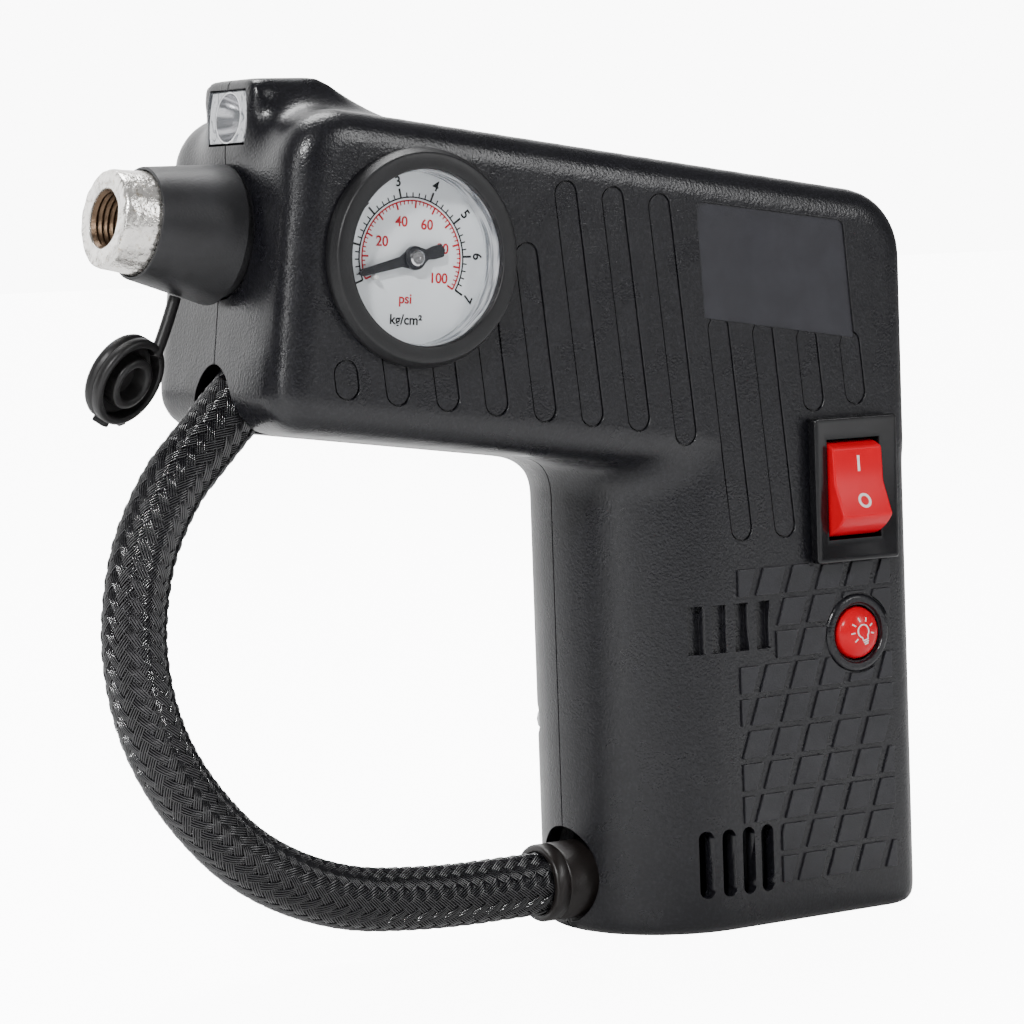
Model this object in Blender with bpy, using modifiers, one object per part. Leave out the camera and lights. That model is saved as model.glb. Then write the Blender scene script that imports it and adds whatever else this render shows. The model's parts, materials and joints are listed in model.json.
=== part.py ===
"""Pistol-shaped electric air pump: two housing shells around a motor, a crank-driven piston pump,
three battery cells, a pressure gauge, a lamp, two switches and a braided air hose.

Design dimensions are millimetres and are turned into metres where vertices are made.
+Z is up, the nose points to -X, and the gauge is on the -Y side. The shells part at Y = 0,
the flat base is at Z = 0, and the origin is under the middle of the grip.
"""

import math

import bmesh
import bpy
from mathutils import Matrix, Vector

MM = 0.001
CLOSE = 0.3  # gap kept between two pieces that touch on the real object
MERGE = 1e-5  # metres: vertices nearer than this are one

# ---- outer form -------------------------------------------------------------------------
HALF_WIDTH = 18.5
WALL = 2.2
SPLIT = 0.15  # each shell stops this far from the middle plane
GRIP_FRONT = -25.9
GRIP_REAR = 26.5
GRIP_TOP = 92.0  # the grip form ends inside the barrel form
FLUSH = 0.04  # the grip's sides lie this much inside the barrel's, which keeps the union's faces apart
GRIP_REAR_ROUND = 5.0
BASE_ROUND = 2.2
TOP_AT_ORIGIN = 108.5  # height of the barrel's top line over the origin
TOP_SLOPE = -0.1463
UNDER_AT_ORIGIN = 64.9
UNDER_SLOPE = -0.1374
NOSE_TOP = (-77.1, 119.8)
NOSE_BOTTOM = (-80.9, 76.1)
RIM_ROUND = 4.5
NOSE_ROUND = 5.5
REAR_TOP_ROUND = 10.0
FRONT_LEAN = math.radians(5.0)  # the front face leans back by this much
FRONT_X = -80.1  # front face at the height below
FRONT_X_AT = 85.5

# ---- drive line -------------------------------------------------------------------------
TILT = math.radians(8.3)  # the barrel points up to the front by this much
DRIVE_ORIGIN = Vector((0.0, 0.0, 92.5))
FORWARD = Vector((-math.cos(TILT), 0.0, math.sin(TILT)))
UPWARD = Vector((math.sin(TILT), 0.0, math.cos(TILT)))
SIDEWAYS = Vector((0.0, 1.0, 0.0))
MOTOR_RADIUS = 12.2
MOTOR_BACK = -15.0
MOTOR_FACE = 17.0
SHAFT_RADIUS = 0.9
GEAR_MODULE = 0.5
PINION_TEETH = 10
GEAR_TEETH = 40
BACKLASH = 0.12
PRESSURE_ANGLE = math.radians(20.0)
CRANK_DROP = GEAR_MODULE * (PINION_TEETH + GEAR_TEETH) / 2 + 0.1
CRANK_THROW = 4.5
GEAR_BACK = 19.8
GEAR_FACE = 24.2
ROD_PLANE = 37.6
ROD_LENGTH = 12.0
CYLINDER_RADIUS = 9.0
CYLINDER_BORE = 7.3
CYLINDER_BASE = -3.4
CYLINDER_TOP = 7.6

# ---- nose -------------------------------------------------------------------------------
NOSE_AXIS_BASE = Vector((-78.8, 0.0, 102.3))
NOSE_RISE = math.radians(9.3)
NOSE_AXIS = Vector((-math.cos(NOSE_RISE), 0.0, math.sin(NOSE_RISE)))
CONNECTOR_TIP = 17.1
CONNECTOR_BORE = 4.0
COLLAR_FRONT = 12.1
CAP_CENTRE = Vector((-92.4, 0.0, 82.9))
CAP_OPENS = Vector((0.327, -0.838, -0.436)).normalized()
CAP_RADIUS = 6.25
CAP_DEPTH = 3.0
STRAP_ROOT = Vector((-85.4, 0.0, 94.2))
STRAP_END = Vector((-88.3, 0.0, 87.4))
STRAP_RADIUS = 0.85

# ---- lamp -------------------------------------------------------------------------------
LAMP_HEIGHT = 118.1
LENS_WIDTH = 9.6
LENS_TALL = 7.4
BUMP_HALF_WIDTH = 7.5

# ---- left side --------------------------------------------------------------------------
GAUGE_X, GAUGE_Z = -57.8, 98.3
GAUGE_HOLE = 13.3
NEEDLE_REST = math.radians(191.5)
STOP_ANGLE = math.radians(200.5)
STOP_RADIUS = 0.35
STOP_REACH = 6.7
SWITCH_X, SWITCH_Z = 13.8, 62.5
FLANGE_WIDE, FLANGE_TALL = 15.0, 21.0
FLANGE_PROUD = 2.1
ROCKER_PIVOT_DEEP = 3.4  # below the flange's face
ROCKER_REACH = 7.0
ROCKER_TILT = math.radians(13.0)
BUTTON_X, BUTTON_Z = 14.5, 41.3
BUTTON_RADIUS = 3.8
BUTTON_PROUD = 1.8

RIB_LEAN = math.radians(6.05)  # the ribs' tops lean to the front by this much
RIB_PITCH = 7.67
RIB_FIRST = -60.86  # first rib's distance along the ribs' normal
RIB_WIDTH = 3.9
RIB_DEEP = 0.4
RIB_SPANS = (  # both ends of each rib, measured along the ribs from the base
    (86.6, 92.2), (84.6, 93.0), (82.6, 92.0), (80.7, 95.0), (78.6, 103.7), (76.7, 111.2),
    (74.8, 109.4), (71.5, 107.4), (56.4, 89.0), (55.5, 87.2), (72.6, 85.3), (72.4, 83.3),
)
LABEL_CORNERS = ((-11.1, 88.1, 0.3), (15.8, 84.1, 0.3), (14.2, 101.4, 1.5), (-12.0, 104.8, 1.5))
UPPER_SLOTS = (-13.4, -9.9, -6.2, -2.4)
LOWER_VENTS = (-12.9, -9.45, -6.1, -2.8)

# ---- hose -------------------------------------------------------------------------------
HOSE_RADIUS = 4.55
HOSE_ROUTE = (
    (-69.0, 87.1), (-74.6, 81.5), (-80.3, 75.8), (-83.5, 72.6), (-86.6, 69.3), (-89.6, 64.6),
    (-91.9, 59.4), (-93.3, 53.2), (-93.7, 47.0), (-92.9, 40.4), (-91.0, 34.2), (-88.0, 28.4),
    (-84.1, 23.1), (-79.4, 18.2), (-73.9, 14.3), (-67.6, 11.3), (-60.5, 9.2), (-52.5, 8.2),
    (-44.5, 7.7), (-36.5, 7.6), (-30.5, 7.6), (-24.4, 7.6),
)
HOSE_STEP = 4.0 * HOSE_RADIUS  # a point every two diameters
HOSE_HOLE = (-80.3, 75.8)
HOSE_HOLE_RADIUS = 5.3
NOTCH_Z = 8.4
NOTCH_RADIUS = 7.0
BOOT_FRONT, BOOT_BACK = -30.6, -22.4
BOOT_RADIUS = 5.6

# ---- screws: X, Z, then the head's seat and the inside of the wall from the middle plane --------
SCREWS = ((-65.5, 113.0, 14.5, 17.4), (-62.0, 79.5, 15.5, 17.4), (-22.0, 107.0, 15.5, 17.4),
          (21.8, 75.5, 15.5, 17.4), (-17.5, 61.0, 13.5, 14.4), (-21.6, 30.0, 7.6, 10.8))
POST_RADIUS = 2.3
BOSS_RADIUS = 3.7
SCREW_HOLE = 1.5
SCREW_TIP = -7.2

# ---- battery ----------------------------------------------------------------------------
CELL_RADIUS = 8.9
CELL_BOTTOM, CELL_TOP = 2.6, 51.6
CELLS = ((-8.6, 7.0), (2.6, -7.1), (14.9, 6.2))
SOCKET_Y, SOCKET_Z = 9.0, 58.0

# ---- air path ---------------------------------------------------------------------------
MANIFOLD = Vector((GAUGE_X, 3.8, GAUGE_Z))
MANIFOLD_SIZE = (9.0, 10.0, 9.0)


# ==== scene and materials ==================================================================
def clear_scene():
    for old in list(bpy.data.objects):
        bpy.data.objects.remove(old, do_unlink=True)


def new_collection(name):
    made = bpy.data.collections.new(name)
    bpy.context.scene.collection.children.link(made)
    return made


clear_scene()
PARTS = new_collection("hand_held_air_pump")
CUTTERS = new_collection("cutters")


def material(name, colour, roughness, metallic=0.0):
    made = bpy.data.materials.new(name)
    made.use_nodes = True
    shader = made.node_tree.nodes["Principled BSDF"]
    shader.inputs["Base Color"].default_value = (*colour, 1.0)
    shader.inputs["Roughness"].default_value = roughness
    shader.inputs["Metallic"].default_value = metallic
    return made


BODY_PLASTIC = material("body_plastic", (0.028, 0.028, 0.032), 0.55)
GLOSS_PLASTIC = material("gloss_plastic", (0.012, 0.012, 0.013), 0.2)
RED_PLASTIC = material("red_plastic", (0.72, 0.03, 0.03), 0.25)
CLEAR_PLASTIC = material("clear_plastic", (0.8, 0.85, 0.9), 0.05)
WHITE_DIAL = material("white_dial", (0.78, 0.85, 0.95), 0.4)
NEEDLE_GREY = material("needle_grey", (0.08, 0.08, 0.1), 0.4)
NICKEL = material("nickel", (0.72, 0.68, 0.62), 0.35, 1.0)
STEEL = material("steel", (0.55, 0.55, 0.56), 0.3, 1.0)
BRASS = material("brass", (0.75, 0.58, 0.3), 0.3, 1.0)
ALUMINIUM = material("aluminium", (0.7, 0.71, 0.72), 0.4, 1.0)
RUBBER = material("rubber", (0.02, 0.018, 0.018), 0.7)
BRAID = material("braid", (0.02, 0.02, 0.023), 0.35)
WHITE_NYLON = material("white_nylon", (0.8, 0.79, 0.75), 0.45)
SILICONE = material("silicone", (0.6, 0.62, 0.62), 0.5)
CELL_WRAP = material("cell_wrap", (0.1, 0.3, 0.5), 0.4)
BOARD_GREEN = material("board_green", (0.03, 0.2, 0.08), 0.5)


# ==== making solids =========================================================================
def place(name, mesh, look, collection=PARTS):
    made = bpy.data.objects.new(name, mesh)
    collection.objects.link(made)
    if look is not None:
        mesh.materials.clear()
        mesh.materials.append(look)
    if collection is CUTTERS:
        as_guide(made)
    return made


def as_guide(guide):
    """Keep a cutter or an added form out of the finished object."""
    guide.hide_render = True
    guide.display_type = "WIRE"
    for home in list(guide.users_collection):
        home.objects.unlink(guide)
    CUTTERS.objects.link(guide)
    return guide


def smooth(made, degrees=35.0):
    made.data.shade_smooth()
    made.data.set_sharp_from_angle(angle=math.radians(degrees))
    return made


def facing(direction, up=Vector((0.0, 0.0, 1.0))):
    """Rotation that turns local +Z to the direction, with local +Y as near to up as it can be."""
    ahead = Vector(direction).normalized()
    across = Vector(up).cross(ahead)
    if across.length < 1e-6:
        across = Vector((1.0, 0.0, 0.0))
    across.normalize()
    return Matrix((across, ahead.cross(across), ahead)).transposed()


def set_frame(made, origin, rotation=Matrix.Identity(3)):
    made.matrix_world = Matrix.Translation(Vector(origin) * MM) @ rotation.to_4x4()
    return made


def block(name, centre, size, look, rotation=Matrix.Identity(3), round_off=0.0, collection=PARTS):
    shape = bmesh.new()
    bmesh.ops.create_cube(shape, size=1.0)
    bmesh.ops.scale(shape, vec=Vector(size) * MM, verts=shape.verts)
    mesh = bpy.data.meshes.new(name)
    shape.to_mesh(mesh)
    shape.free()
    made = set_frame(place(name, mesh, look, collection), centre, rotation)
    if round_off:
        bevel(made, round_off)
    return made


def bar(name, radius, start, end, look, sides=20, collection=PARTS):
    """Round bar between two points, with its origin at the start."""
    along = Vector(end) - Vector(start)
    shape = bmesh.new()
    bmesh.ops.create_cone(shape, cap_ends=True, segments=sides, radius1=radius * MM, radius2=radius * MM,
                          depth=along.length * MM, matrix=Matrix.Translation((0, 0, along.length * MM / 2)))
    mesh = bpy.data.meshes.new(name)
    shape.to_mesh(mesh)
    shape.free()
    return smooth(set_frame(place(name, mesh, look, collection), start, facing(along)))


def turned(name, profile, origin, direction, look, ring=False, steps=28, collection=PARTS):
    """Turned solid: (distance along the direction, radius) points, outer side from front to back.

    A ring's profile closes on itself; another profile starts and ends on the axis.
    """
    mesh = bpy.data.meshes.new(name)
    points = [(radius * MM, 0.0, along * MM) for along, radius in profile]
    edges = [(i, i + 1) for i in range(len(points) - 1)]
    if ring:
        edges.append((len(points) - 1, 0))
    mesh.from_pydata(points, edges, [])
    made = set_frame(place(name, mesh, look, collection), origin, facing(direction))
    screw = made.modifiers.new("turn", "SCREW")
    screw.axis = "Z"
    screw.steps = steps
    screw.render_steps = steps
    screw.use_merge_vertices = True
    screw.merge_threshold = MERGE
    screw.use_smooth_shade = False
    return made


def rounded(corners, steps=5):
    """Outline through (x, y, radius) corners, each corner replaced by an arc."""
    outline = []
    count = len(corners)
    for i, (x, y, radius) in enumerate(corners):
        here = Vector((x, y))
        to_last = (Vector(corners[i - 1][:2]) - here).normalized()
        to_next = (Vector(corners[(i + 1) % count][:2]) - here).normalized()
        if radius <= 0.0:
            outline.append(here)
            continue
        half = to_last.angle(to_next) / 2
        centre = here + (to_last + to_next).normalized() * (radius / math.sin(half))
        first = here + to_last * (radius / math.tan(half)) - centre
        last = here + to_next * (radius / math.tan(half)) - centre
        sweep = first.angle_signed(last)
        for k in range(steps + 1):
            turn = Matrix.Rotation(-sweep * k / steps, 2)
            outline.append(centre + turn @ first)
    return outline


def inset(corners, by):
    """The same corners with every side moved in by a distance; the corners run anticlockwise."""
    count = len(corners)
    sides = []
    for i in range(count):
        start = Vector(corners[i][:2])
        along = (Vector(corners[(i + 1) % count][:2]) - start).normalized()
        inward = Vector((-along.y, along.x))
        sides.append((start + inward * by, along))
    moved = []
    for i in range(count):
        (p, a), (q, b) = sides[i - 1], sides[i]
        cross = a.x * b.y - a.y * b.x
        t = ((q.x - p.x) * b.y - (q.y - p.y) * b.x) / cross
        meet = p + a * t
        moved.append((meet.x, meet.y, max(corners[i][2] - by, 0.4)))
    return moved


def plate(name, outline, low, high, look, rotation, origin=(0, 0, 0), collection=PARTS):
    """Flat outline made solid between two distances along the rotation's local Z."""
    flat = bpy.data.curves.new(name, "CURVE")
    flat.dimensions = "2D"
    flat.fill_mode = "BOTH"
    flat.extrude = (high - low) / 2 * MM
    spline = flat.splines.new("POLY")
    spline.points.add(len(outline) - 1)
    for point, (x, y) in zip(spline.points, outline):
        point.co = (x * MM, y * MM, 0.0, 1.0)
    spline.use_cyclic_u = True
    drawn = bpy.data.objects.new(name + "_outline", flat)
    CUTTERS.objects.link(drawn)
    mesh = meshed(drawn, name)
    bpy.data.objects.remove(drawn, do_unlink=True)
    mesh.transform(Matrix.Translation((0, 0, (high + low) / 2 * MM)))
    return smooth(set_frame(place(name, mesh, look, collection), origin, rotation))


def meshed(drawn, name):
    """The evaluated shape as a mesh with its loose caps welded."""
    bpy.context.view_layer.update()
    evaluated = drawn.evaluated_get(bpy.context.evaluated_depsgraph_get())
    mesh = bpy.data.meshes.new_from_object(evaluated)
    mesh.name = name
    shape = bmesh.new()
    shape.from_mesh(mesh)
    bmesh.ops.remove_doubles(shape, verts=shape.verts, dist=MERGE)
    shape.to_mesh(mesh)
    shape.free()
    return mesh


def tube(name, radius, points, look, resolution=2):
    """Tube along points, as a mesh with closed ends."""
    path = bpy.data.curves.new(name, "CURVE")
    path.dimensions = "3D"
    path.bevel_depth = radius * MM
    path.bevel_resolution = resolution
    path.use_fill_caps = True
    spline = path.splines.new("POLY")
    spline.points.add(len(points) - 1)
    for point, where in zip(spline.points, points):
        point.co = (*(Vector(where) * MM), 1.0)
    made = bpy.data.objects.new(name, path)
    PARTS.objects.link(made)
    path.materials.append(look)
    return made


def smooth_route(route, step):
    """Points about a step apart on one smooth curve through the route's points, in the middle plane."""
    dense = []
    count = len(route)
    for i in range(count - 1):
        p0, p1 = Vector(route[max(i - 1, 0)]), Vector(route[i])
        p2, p3 = Vector(route[i + 1]), Vector(route[min(i + 2, count - 1)])
        for k in range(20):
            t = k / 20
            dense.append(0.5 * (2 * p1 + (p2 - p0) * t + (2 * p0 - 5 * p1 + 4 * p2 - p3) * t * t
                                + (3 * p1 - p0 - 3 * p2 + p3) * t ** 3))
    dense.append(Vector(route[-1]))
    lengths = [0.0]
    for a, b in zip(dense, dense[1:]):
        lengths.append(lengths[-1] + (b - a).length)
    pieces = round(lengths[-1] / step)
    points = []
    at = 0
    for k in range(pieces + 1):
        want = lengths[-1] * k / pieces
        while at < len(lengths) - 2 and lengths[at + 1] < want:
            at += 1
        share = (want - lengths[at]) / (lengths[at + 1] - lengths[at])
        spot = dense[at].lerp(dense[at + 1], share)
        points.append((spot.x, 0.0, spot.y))
    return points


def bevel(made, width, segments=2, degrees=40.0):
    edge = made.modifiers.new("round_edges", "BEVEL")
    edge.width = width * MM
    edge.segments = segments
    edge.limit_method = "ANGLE"
    edge.angle_limit = math.radians(degrees)
    return made


def combine(target, other, operation):
    """One Boolean step; the shells, which have many flush cuts, take the manifold kind."""
    step = target.modifiers.new(operation.lower(), "BOOLEAN")
    step.operation = operation
    step.solver = "MANIFOLD" if target.name.endswith("_housing") else "EXACT"
    step.object = other
    as_guide(other)
    return target


def cut(target, *others):
    for other in others:
        combine(target, other, "DIFFERENCE")
    return target


def join(target, *others):
    for other in others:
        combine(target, other, "UNION")
    return target


def drive(along, up, side=0.0):
    """Point given by its distances along, above and beside the motor's axis."""
    return DRIVE_ORIGIN + FORWARD * along + UPWARD * up + SIDEWAYS * side


def nose(along):
    return NOSE_AXIS_BASE + NOSE_AXIS * along


SIDE_VIEW = facing((0, -1, 0))  # local x, y and z are world X, Z and -Y
PLAN_VIEW = Matrix.Identity(3)
DRIVE_VIEW = facing(FORWARD, UPWARD)  # local y and z are the drive's up and forward
LEFT = Vector((0, -1, 0))
RIGHT = Vector((0, 1, 0))


def on_left(x, z, proud=0.0):
    """Point on the left side's flat, or that far out of it."""
    return Vector((x, -HALF_WIDTH - proud, z))


# ==== housing ================================================================================
def barrel_corners():
    rear_top = TOP_AT_ORIGIN + TOP_SLOPE * GRIP_REAR
    rear_under = UNDER_AT_ORIGIN + UNDER_SLOPE * GRIP_REAR
    return [(*NOSE_BOTTOM, NOSE_ROUND), (GRIP_REAR, rear_under, 6.0),
            (GRIP_REAR, rear_top, REAR_TOP_ROUND), (*NOSE_TOP, NOSE_ROUND)]


def grip_outline(by):
    """Plan of the grip: a half round in front and two rounded corners behind, moved in by a distance."""
    radius = HALF_WIDTH - by
    middle = GRIP_FRONT + HALF_WIDTH
    outline = []
    for k in range(25):
        turn = math.radians(90 + 180 * k / 24)
        outline.append(Vector((middle + radius * math.cos(turn), radius * math.sin(turn))))
    rear = [(middle, -radius, 0), (GRIP_REAR - by, -radius, GRIP_REAR_ROUND - by),
            (GRIP_REAR - by, radius, GRIP_REAR_ROUND - by), (middle, radius, 0)]
    return outline + rounded(rear)[1:-1]


def lamp_bump(by, half_width, name):
    roof = 123.2 - by
    front = front_face_x(roof) + by
    corners = [(front - 0.4, 111.0, 0), (-50.0, 111.0, 0), (-53.0 - 2 * by, 116.6 - by, 3.0),
               (-65.5, roof, 3.0), (front, roof, 0.8)]
    return plate(name, rounded(corners, 3), -half_width, half_width, None, SIDE_VIEW, collection=CUTTERS)


def front_face_x(z):
    return FRONT_X + math.tan(FRONT_LEAN) * (z - FRONT_X_AT)


def body_form(by, name):
    """The whole body as one solid, moved in by a distance."""
    width = HALF_WIDTH - by
    barrel = plate(name, rounded(inset(barrel_corners(), by)), -width, width, None, SIDE_VIEW,
                   collection=CUTTERS)
    bevel(barrel, RIM_ROUND - 0.8 * by, segments=3)
    grip = plate(name + "_grip", grip_outline(by + FLUSH), by, GRIP_TOP - by, None, PLAN_VIEW,
                 collection=CUTTERS)
    bevel(grip, BASE_ROUND if by == 0 else 0.6)
    bump = lamp_bump(by, BUMP_HALF_WIDTH - by, name + "_bump")
    if by == 0:
        bevel(bump, 1.6)
    return join(barrel, grip, bump)


def stadium(name, x, low, high, width, depth, side, lean=0.0):
    """Slot cutter with round ends, sunk a depth into one side."""
    half = width / 2
    outline = []
    for centre, start in ((high - half, 0), (low + half, 180)):
        for k in range(7):
            turn = math.radians(start + 30 * k)
            outline.append((x + half * math.cos(turn), centre + half * math.sin(turn)))
    spun = [rotate_flat(point, -lean) for point in outline]
    outer = HALF_WIDTH + 1.0
    inner = HALF_WIDTH - depth
    low_out, high_out = (inner, outer) if side < 0 else (-outer, -inner)
    return plate(name, spun, low_out, high_out, None, SIDE_VIEW, collection=CUTTERS)


def rotate_flat(point, angle):
    x, z = point
    return (x * math.cos(angle) + z * math.sin(angle), -x * math.sin(angle) + z * math.cos(angle))


def side_cuts(side, tag):
    """Recessed ribs, the blank label panel, blind slots and vents of one side."""
    cutters = []
    for i, (low, high) in enumerate(RIB_SPANS):
        cutters.append(stadium(f"{tag}_rib_{i + 1}", RIB_FIRST + RIB_PITCH * i, low, high, RIB_WIDTH,
                               RIB_DEEP,
                               side, RIB_LEAN))
    shallow = HALF_WIDTH - RIB_DEEP
    span = (shallow, HALF_WIDTH + 1) if side < 0 else (-HALF_WIDTH - 1, -shallow)
    cutters.append(plate(f"{tag}_label", rounded(LABEL_CORNERS, 3), *span, None, SIDE_VIEW,
                         collection=CUTTERS))
    for i, x in enumerate(UPPER_SLOTS):
        reach = HALF_WIDTH - 1.2 - (1.0 if i == 0 else 0.0)
        middle = side * (HALF_WIDTH + 2 + reach) / 2
        size = (2.4, HALF_WIDTH + 2 - reach, 6.9)
        cutters.append(block(f"{tag}_slot_{i + 1}", (x, middle, 43.9), size, None, collection=CUTTERS))
    for i, x in enumerate(LOWER_VENTS):
        cutters.append(stadium(f"{tag}_vent_{i + 1}", x, 5.4, 15.1, 2.2, 5.0, side))
    return cutters


def front_cuts(tag):
    """Openings that both shells share: the nose, the lamp, the hose hole and the grip's notch."""
    down = Vector((-1, 0, -1)).normalized()
    hole = Vector((HOSE_HOLE[0], 0, HOSE_HOLE[1]))
    lens_face = Vector((front_face_x(LAMP_HEIGHT), 0, LAMP_HEIGHT))
    lens_out = Vector((-math.cos(FRONT_LEAN), 0, math.sin(FRONT_LEAN)))
    lens_size = (LENS_WIDTH + 2 * CLOSE, LENS_TALL + 2 * CLOSE, 8.0)
    return [
        bar(tag + "_nose_hole", 8.75, nose(-6), nose(6), None, 24, CUTTERS),
        bar(tag + "_hose_hole", HOSE_HOLE_RADIUS, hole - down * 13, hole + down * 12, None, 20, CUTTERS),
        bar(tag + "_notch", NOTCH_RADIUS, (-40, 0, NOTCH_Z), (-20.0, 0, NOTCH_Z), None, 24, CUTTERS),
        block(tag + "_lens_hole", lens_face - lens_out * 1.0, lens_size, None, facing(lens_out), 0, CUTTERS),
    ]


def shell(name, side, outer, hollow):
    """One housing shell; side is -1 for the left shell and +1 for the right shell."""
    made = place(name, outer.data.copy(), BODY_PLASTIC)
    made.matrix_world = outer.matrix_world
    inside = place(name + "_hollow", hollow.data.copy(), None, CUTTERS)
    inside.matrix_world = hollow.matrix_world
    cut(made, inside)
    cut(made, block(name + "_other_half", (-20, -side * (40 - SPLIT), 60), (160, 80, 160), None,
                    collection=CUTTERS))
    for i, (x, z, seat, wall) in enumerate(SCREWS):
        tag = f"{name}_{i + 1}"
        reach = seat if side > 0 else wall
        join(made, bar(tag + "_post", POST_RADIUS, (x, side * SPLIT, z), (x, side * (reach - 0.5), z),
                       None, 16, CUTTERS))
        if side > 0:
            join(made, bar(tag + "_boss", BOSS_RADIUS, (x, seat - 1.6, z), (x, wall, z), None, 16, CUTTERS))
            cut(made, bar(tag + "_head_hole", 2.8, (x, seat, z), (x, 25, z), None, 16, CUTTERS))
            cut(made, bar(tag + "_hole", SCREW_HOLE, (x, 0, z), (x, 25, z), None, 12, CUTTERS))
        else:
            cut(made, bar(tag + "_hole", SCREW_HOLE, (x, 1, z), (x, -9, z), None, 12, CUTTERS))
    cut(made, *front_cuts(name))
    cut(made, *side_cuts(side, name))
    return made


def housing():
    outer = body_form(0.0, "outer_form")
    hollow = body_form(WALL, "hollow_form")
    solid = place("outer_solid", meshed(outer, "outer_solid"), None, CUTTERS)
    solid.matrix_world = outer.matrix_world
    void = place("hollow_solid", meshed(hollow, "hollow_solid"), None, CUTTERS)
    void.matrix_world = hollow.matrix_world
    left = shell("left_housing", -1, solid, void)
    right = shell("right_housing", 1, solid, void)
    ring = turned("button_ring", [(0.5, 5.2), (0.0, 5.7), (-1.0, 5.7), (-1.0, 4.3), (0.5, 4.3)],
                  on_left(BUTTON_X, BUTTON_Z), LEFT, None, ring=True, collection=CUTTERS)
    join(left, ring)
    cut(left,
        bar("gauge_hole", GAUGE_HOLE, (GAUGE_X, -25, GAUGE_Z), (GAUGE_X, -8, GAUGE_Z), None, 32, CUTTERS),
        bar("button_hole", BUTTON_RADIUS + CLOSE, (BUTTON_X, -25, BUTTON_Z), (BUTTON_X, -15, BUTTON_Z),
            None, 24, CUTTERS),
        block("switch_hole", (SWITCH_X, -18, SWITCH_Z), (13.4, 10, 19.4), None, collection=CUTTERS))
    cut(right, bar("socket_hole", 3.3, (20, SOCKET_Y, SOCKET_Z), (30, SOCKET_Y, SOCKET_Z), None, 20, CUTTERS))
    return left, right


def housing_screws():
    for i, (x, z, seat, _) in enumerate(SCREWS):
        head = seat + 0.1
        tip = SCREW_TIP - head
        profile = [(1.7, 0), (1.7, 1.5), (1.2, 2.2), (0.0, 2.3), (0.0, 1.1), (tip + 1.0, 1.1), (tip, 0.3),
                   (tip, 0)]
        screw = turned(f"housing_screw_{i + 1}", profile, (x, head, z), RIGHT, STEEL, steps=14)
        cut(screw, block(f"screw_slot_{i + 1}_a", (x, head + 1.6, z), (2.6, 1.0, 0.6), None,
                         collection=CUTTERS))
        cut(screw, block(f"screw_slot_{i + 1}_b", (x, head + 1.6, z), (0.6, 1.0, 2.6), None,
                         collection=CUTTERS))


# ==== gauge ==================================================================================
def gauge():
    face = on_left(GAUGE_X, GAUGE_Z)
    turned("gauge_bezel", [(2.5, 13.5), (2.1, 14.4), (1.3, 14.8), (0.3, 14.8), (0.3, 12.7), (1.6, 12.7),
                           (1.6, 11.8),
                           (2.2, 11.8), (2.5, 12.1)], face, LEFT, GLOSS_PLASTIC, ring=True, steps=40)
    turned("gauge_lens", [(1.3, 0), (1.3, 12.4), (-2.1, 12.4), (-2.1, 11.9), (0.6, 11.9), (0.6, 0)],
           face, LEFT, CLEAR_PLASTIC, steps=40)
    turned("gauge_dial", [(-2.4, 12.2), (-2.9, 12.2), (-2.9, 0.9), (-2.4, 0.9)], face, LEFT, WHITE_DIAL,
           ring=True, steps=36)
    turned("gauge_case", [(0.0, 13.0), (-12.0, 13.0), (-12.0, 3.4), (-11.0, 3.4), (-11.0, 12.5), (0.0, 12.5)],
           face, LEFT, BRASS, ring=True, steps=32)
    turned("gauge_stem", [(-9.5, 0), (-9.5, 3.0), (-17.0, 3.0), (-17.0, 0)], face, LEFT, BRASS, steps=16)
    coil = []
    for k in range(19):
        turn = math.radians(-60 + 15 * k)
        coil.append((GAUGE_X + 9.0 * math.cos(turn), face.y + 7.5, GAUGE_Z + 9.0 * math.sin(turn)))
    tube("bourdon_tube", 0.9, coil, BRASS)
    stop_x = GAUGE_X + STOP_REACH * math.cos(STOP_ANGLE)
    stop_z = GAUGE_Z + STOP_REACH * math.sin(STOP_ANGLE)
    bar("stop_pin", STOP_RADIUS, (stop_x, face.y + 2.1, stop_z), (stop_x, face.y + 1.1, stop_z), WHITE_DIAL,
        12)


def needle():
    """Pointer, hub and shaft, turning clockwise from the zero stop as seen from outside."""
    tip = [(8.9, 0.1, 0), (8.9, -0.1, 0), (8.6, -0.55, 0), (1.2, -0.75, 0), (-1.2, -0.75, 0),
           (-3.9, -0.95, 0.3),
           (-4.5, 0.0, 0.3), (-3.9, 0.95, 0.3), (-1.2, 0.75, 0), (1.2, 0.75, 0), (8.6, 0.55, 0)]
    outline = [rotate_flat(point, -NEEDLE_REST) for point in rounded(tip, 2)]
    face = on_left(GAUGE_X, GAUGE_Z)
    pointer = plate("gauge_needle", outline, -1.7, -1.3, NEEDLE_GREY, SIDE_VIEW, origin=face)
    hub = turned("needle_hub", [(-0.5, 0), (-0.5, 0.8), (-0.7, 0.95), (-1.1, 0.95), (-1.1, 1.65),
                                (-1.9, 1.65),
                                (-1.9, 0.55), (-8.5, 0.55), (-8.5, 0)], face, LEFT, None, steps=20,
                 collection=CUTTERS)
    return join(pointer, hub)


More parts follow.
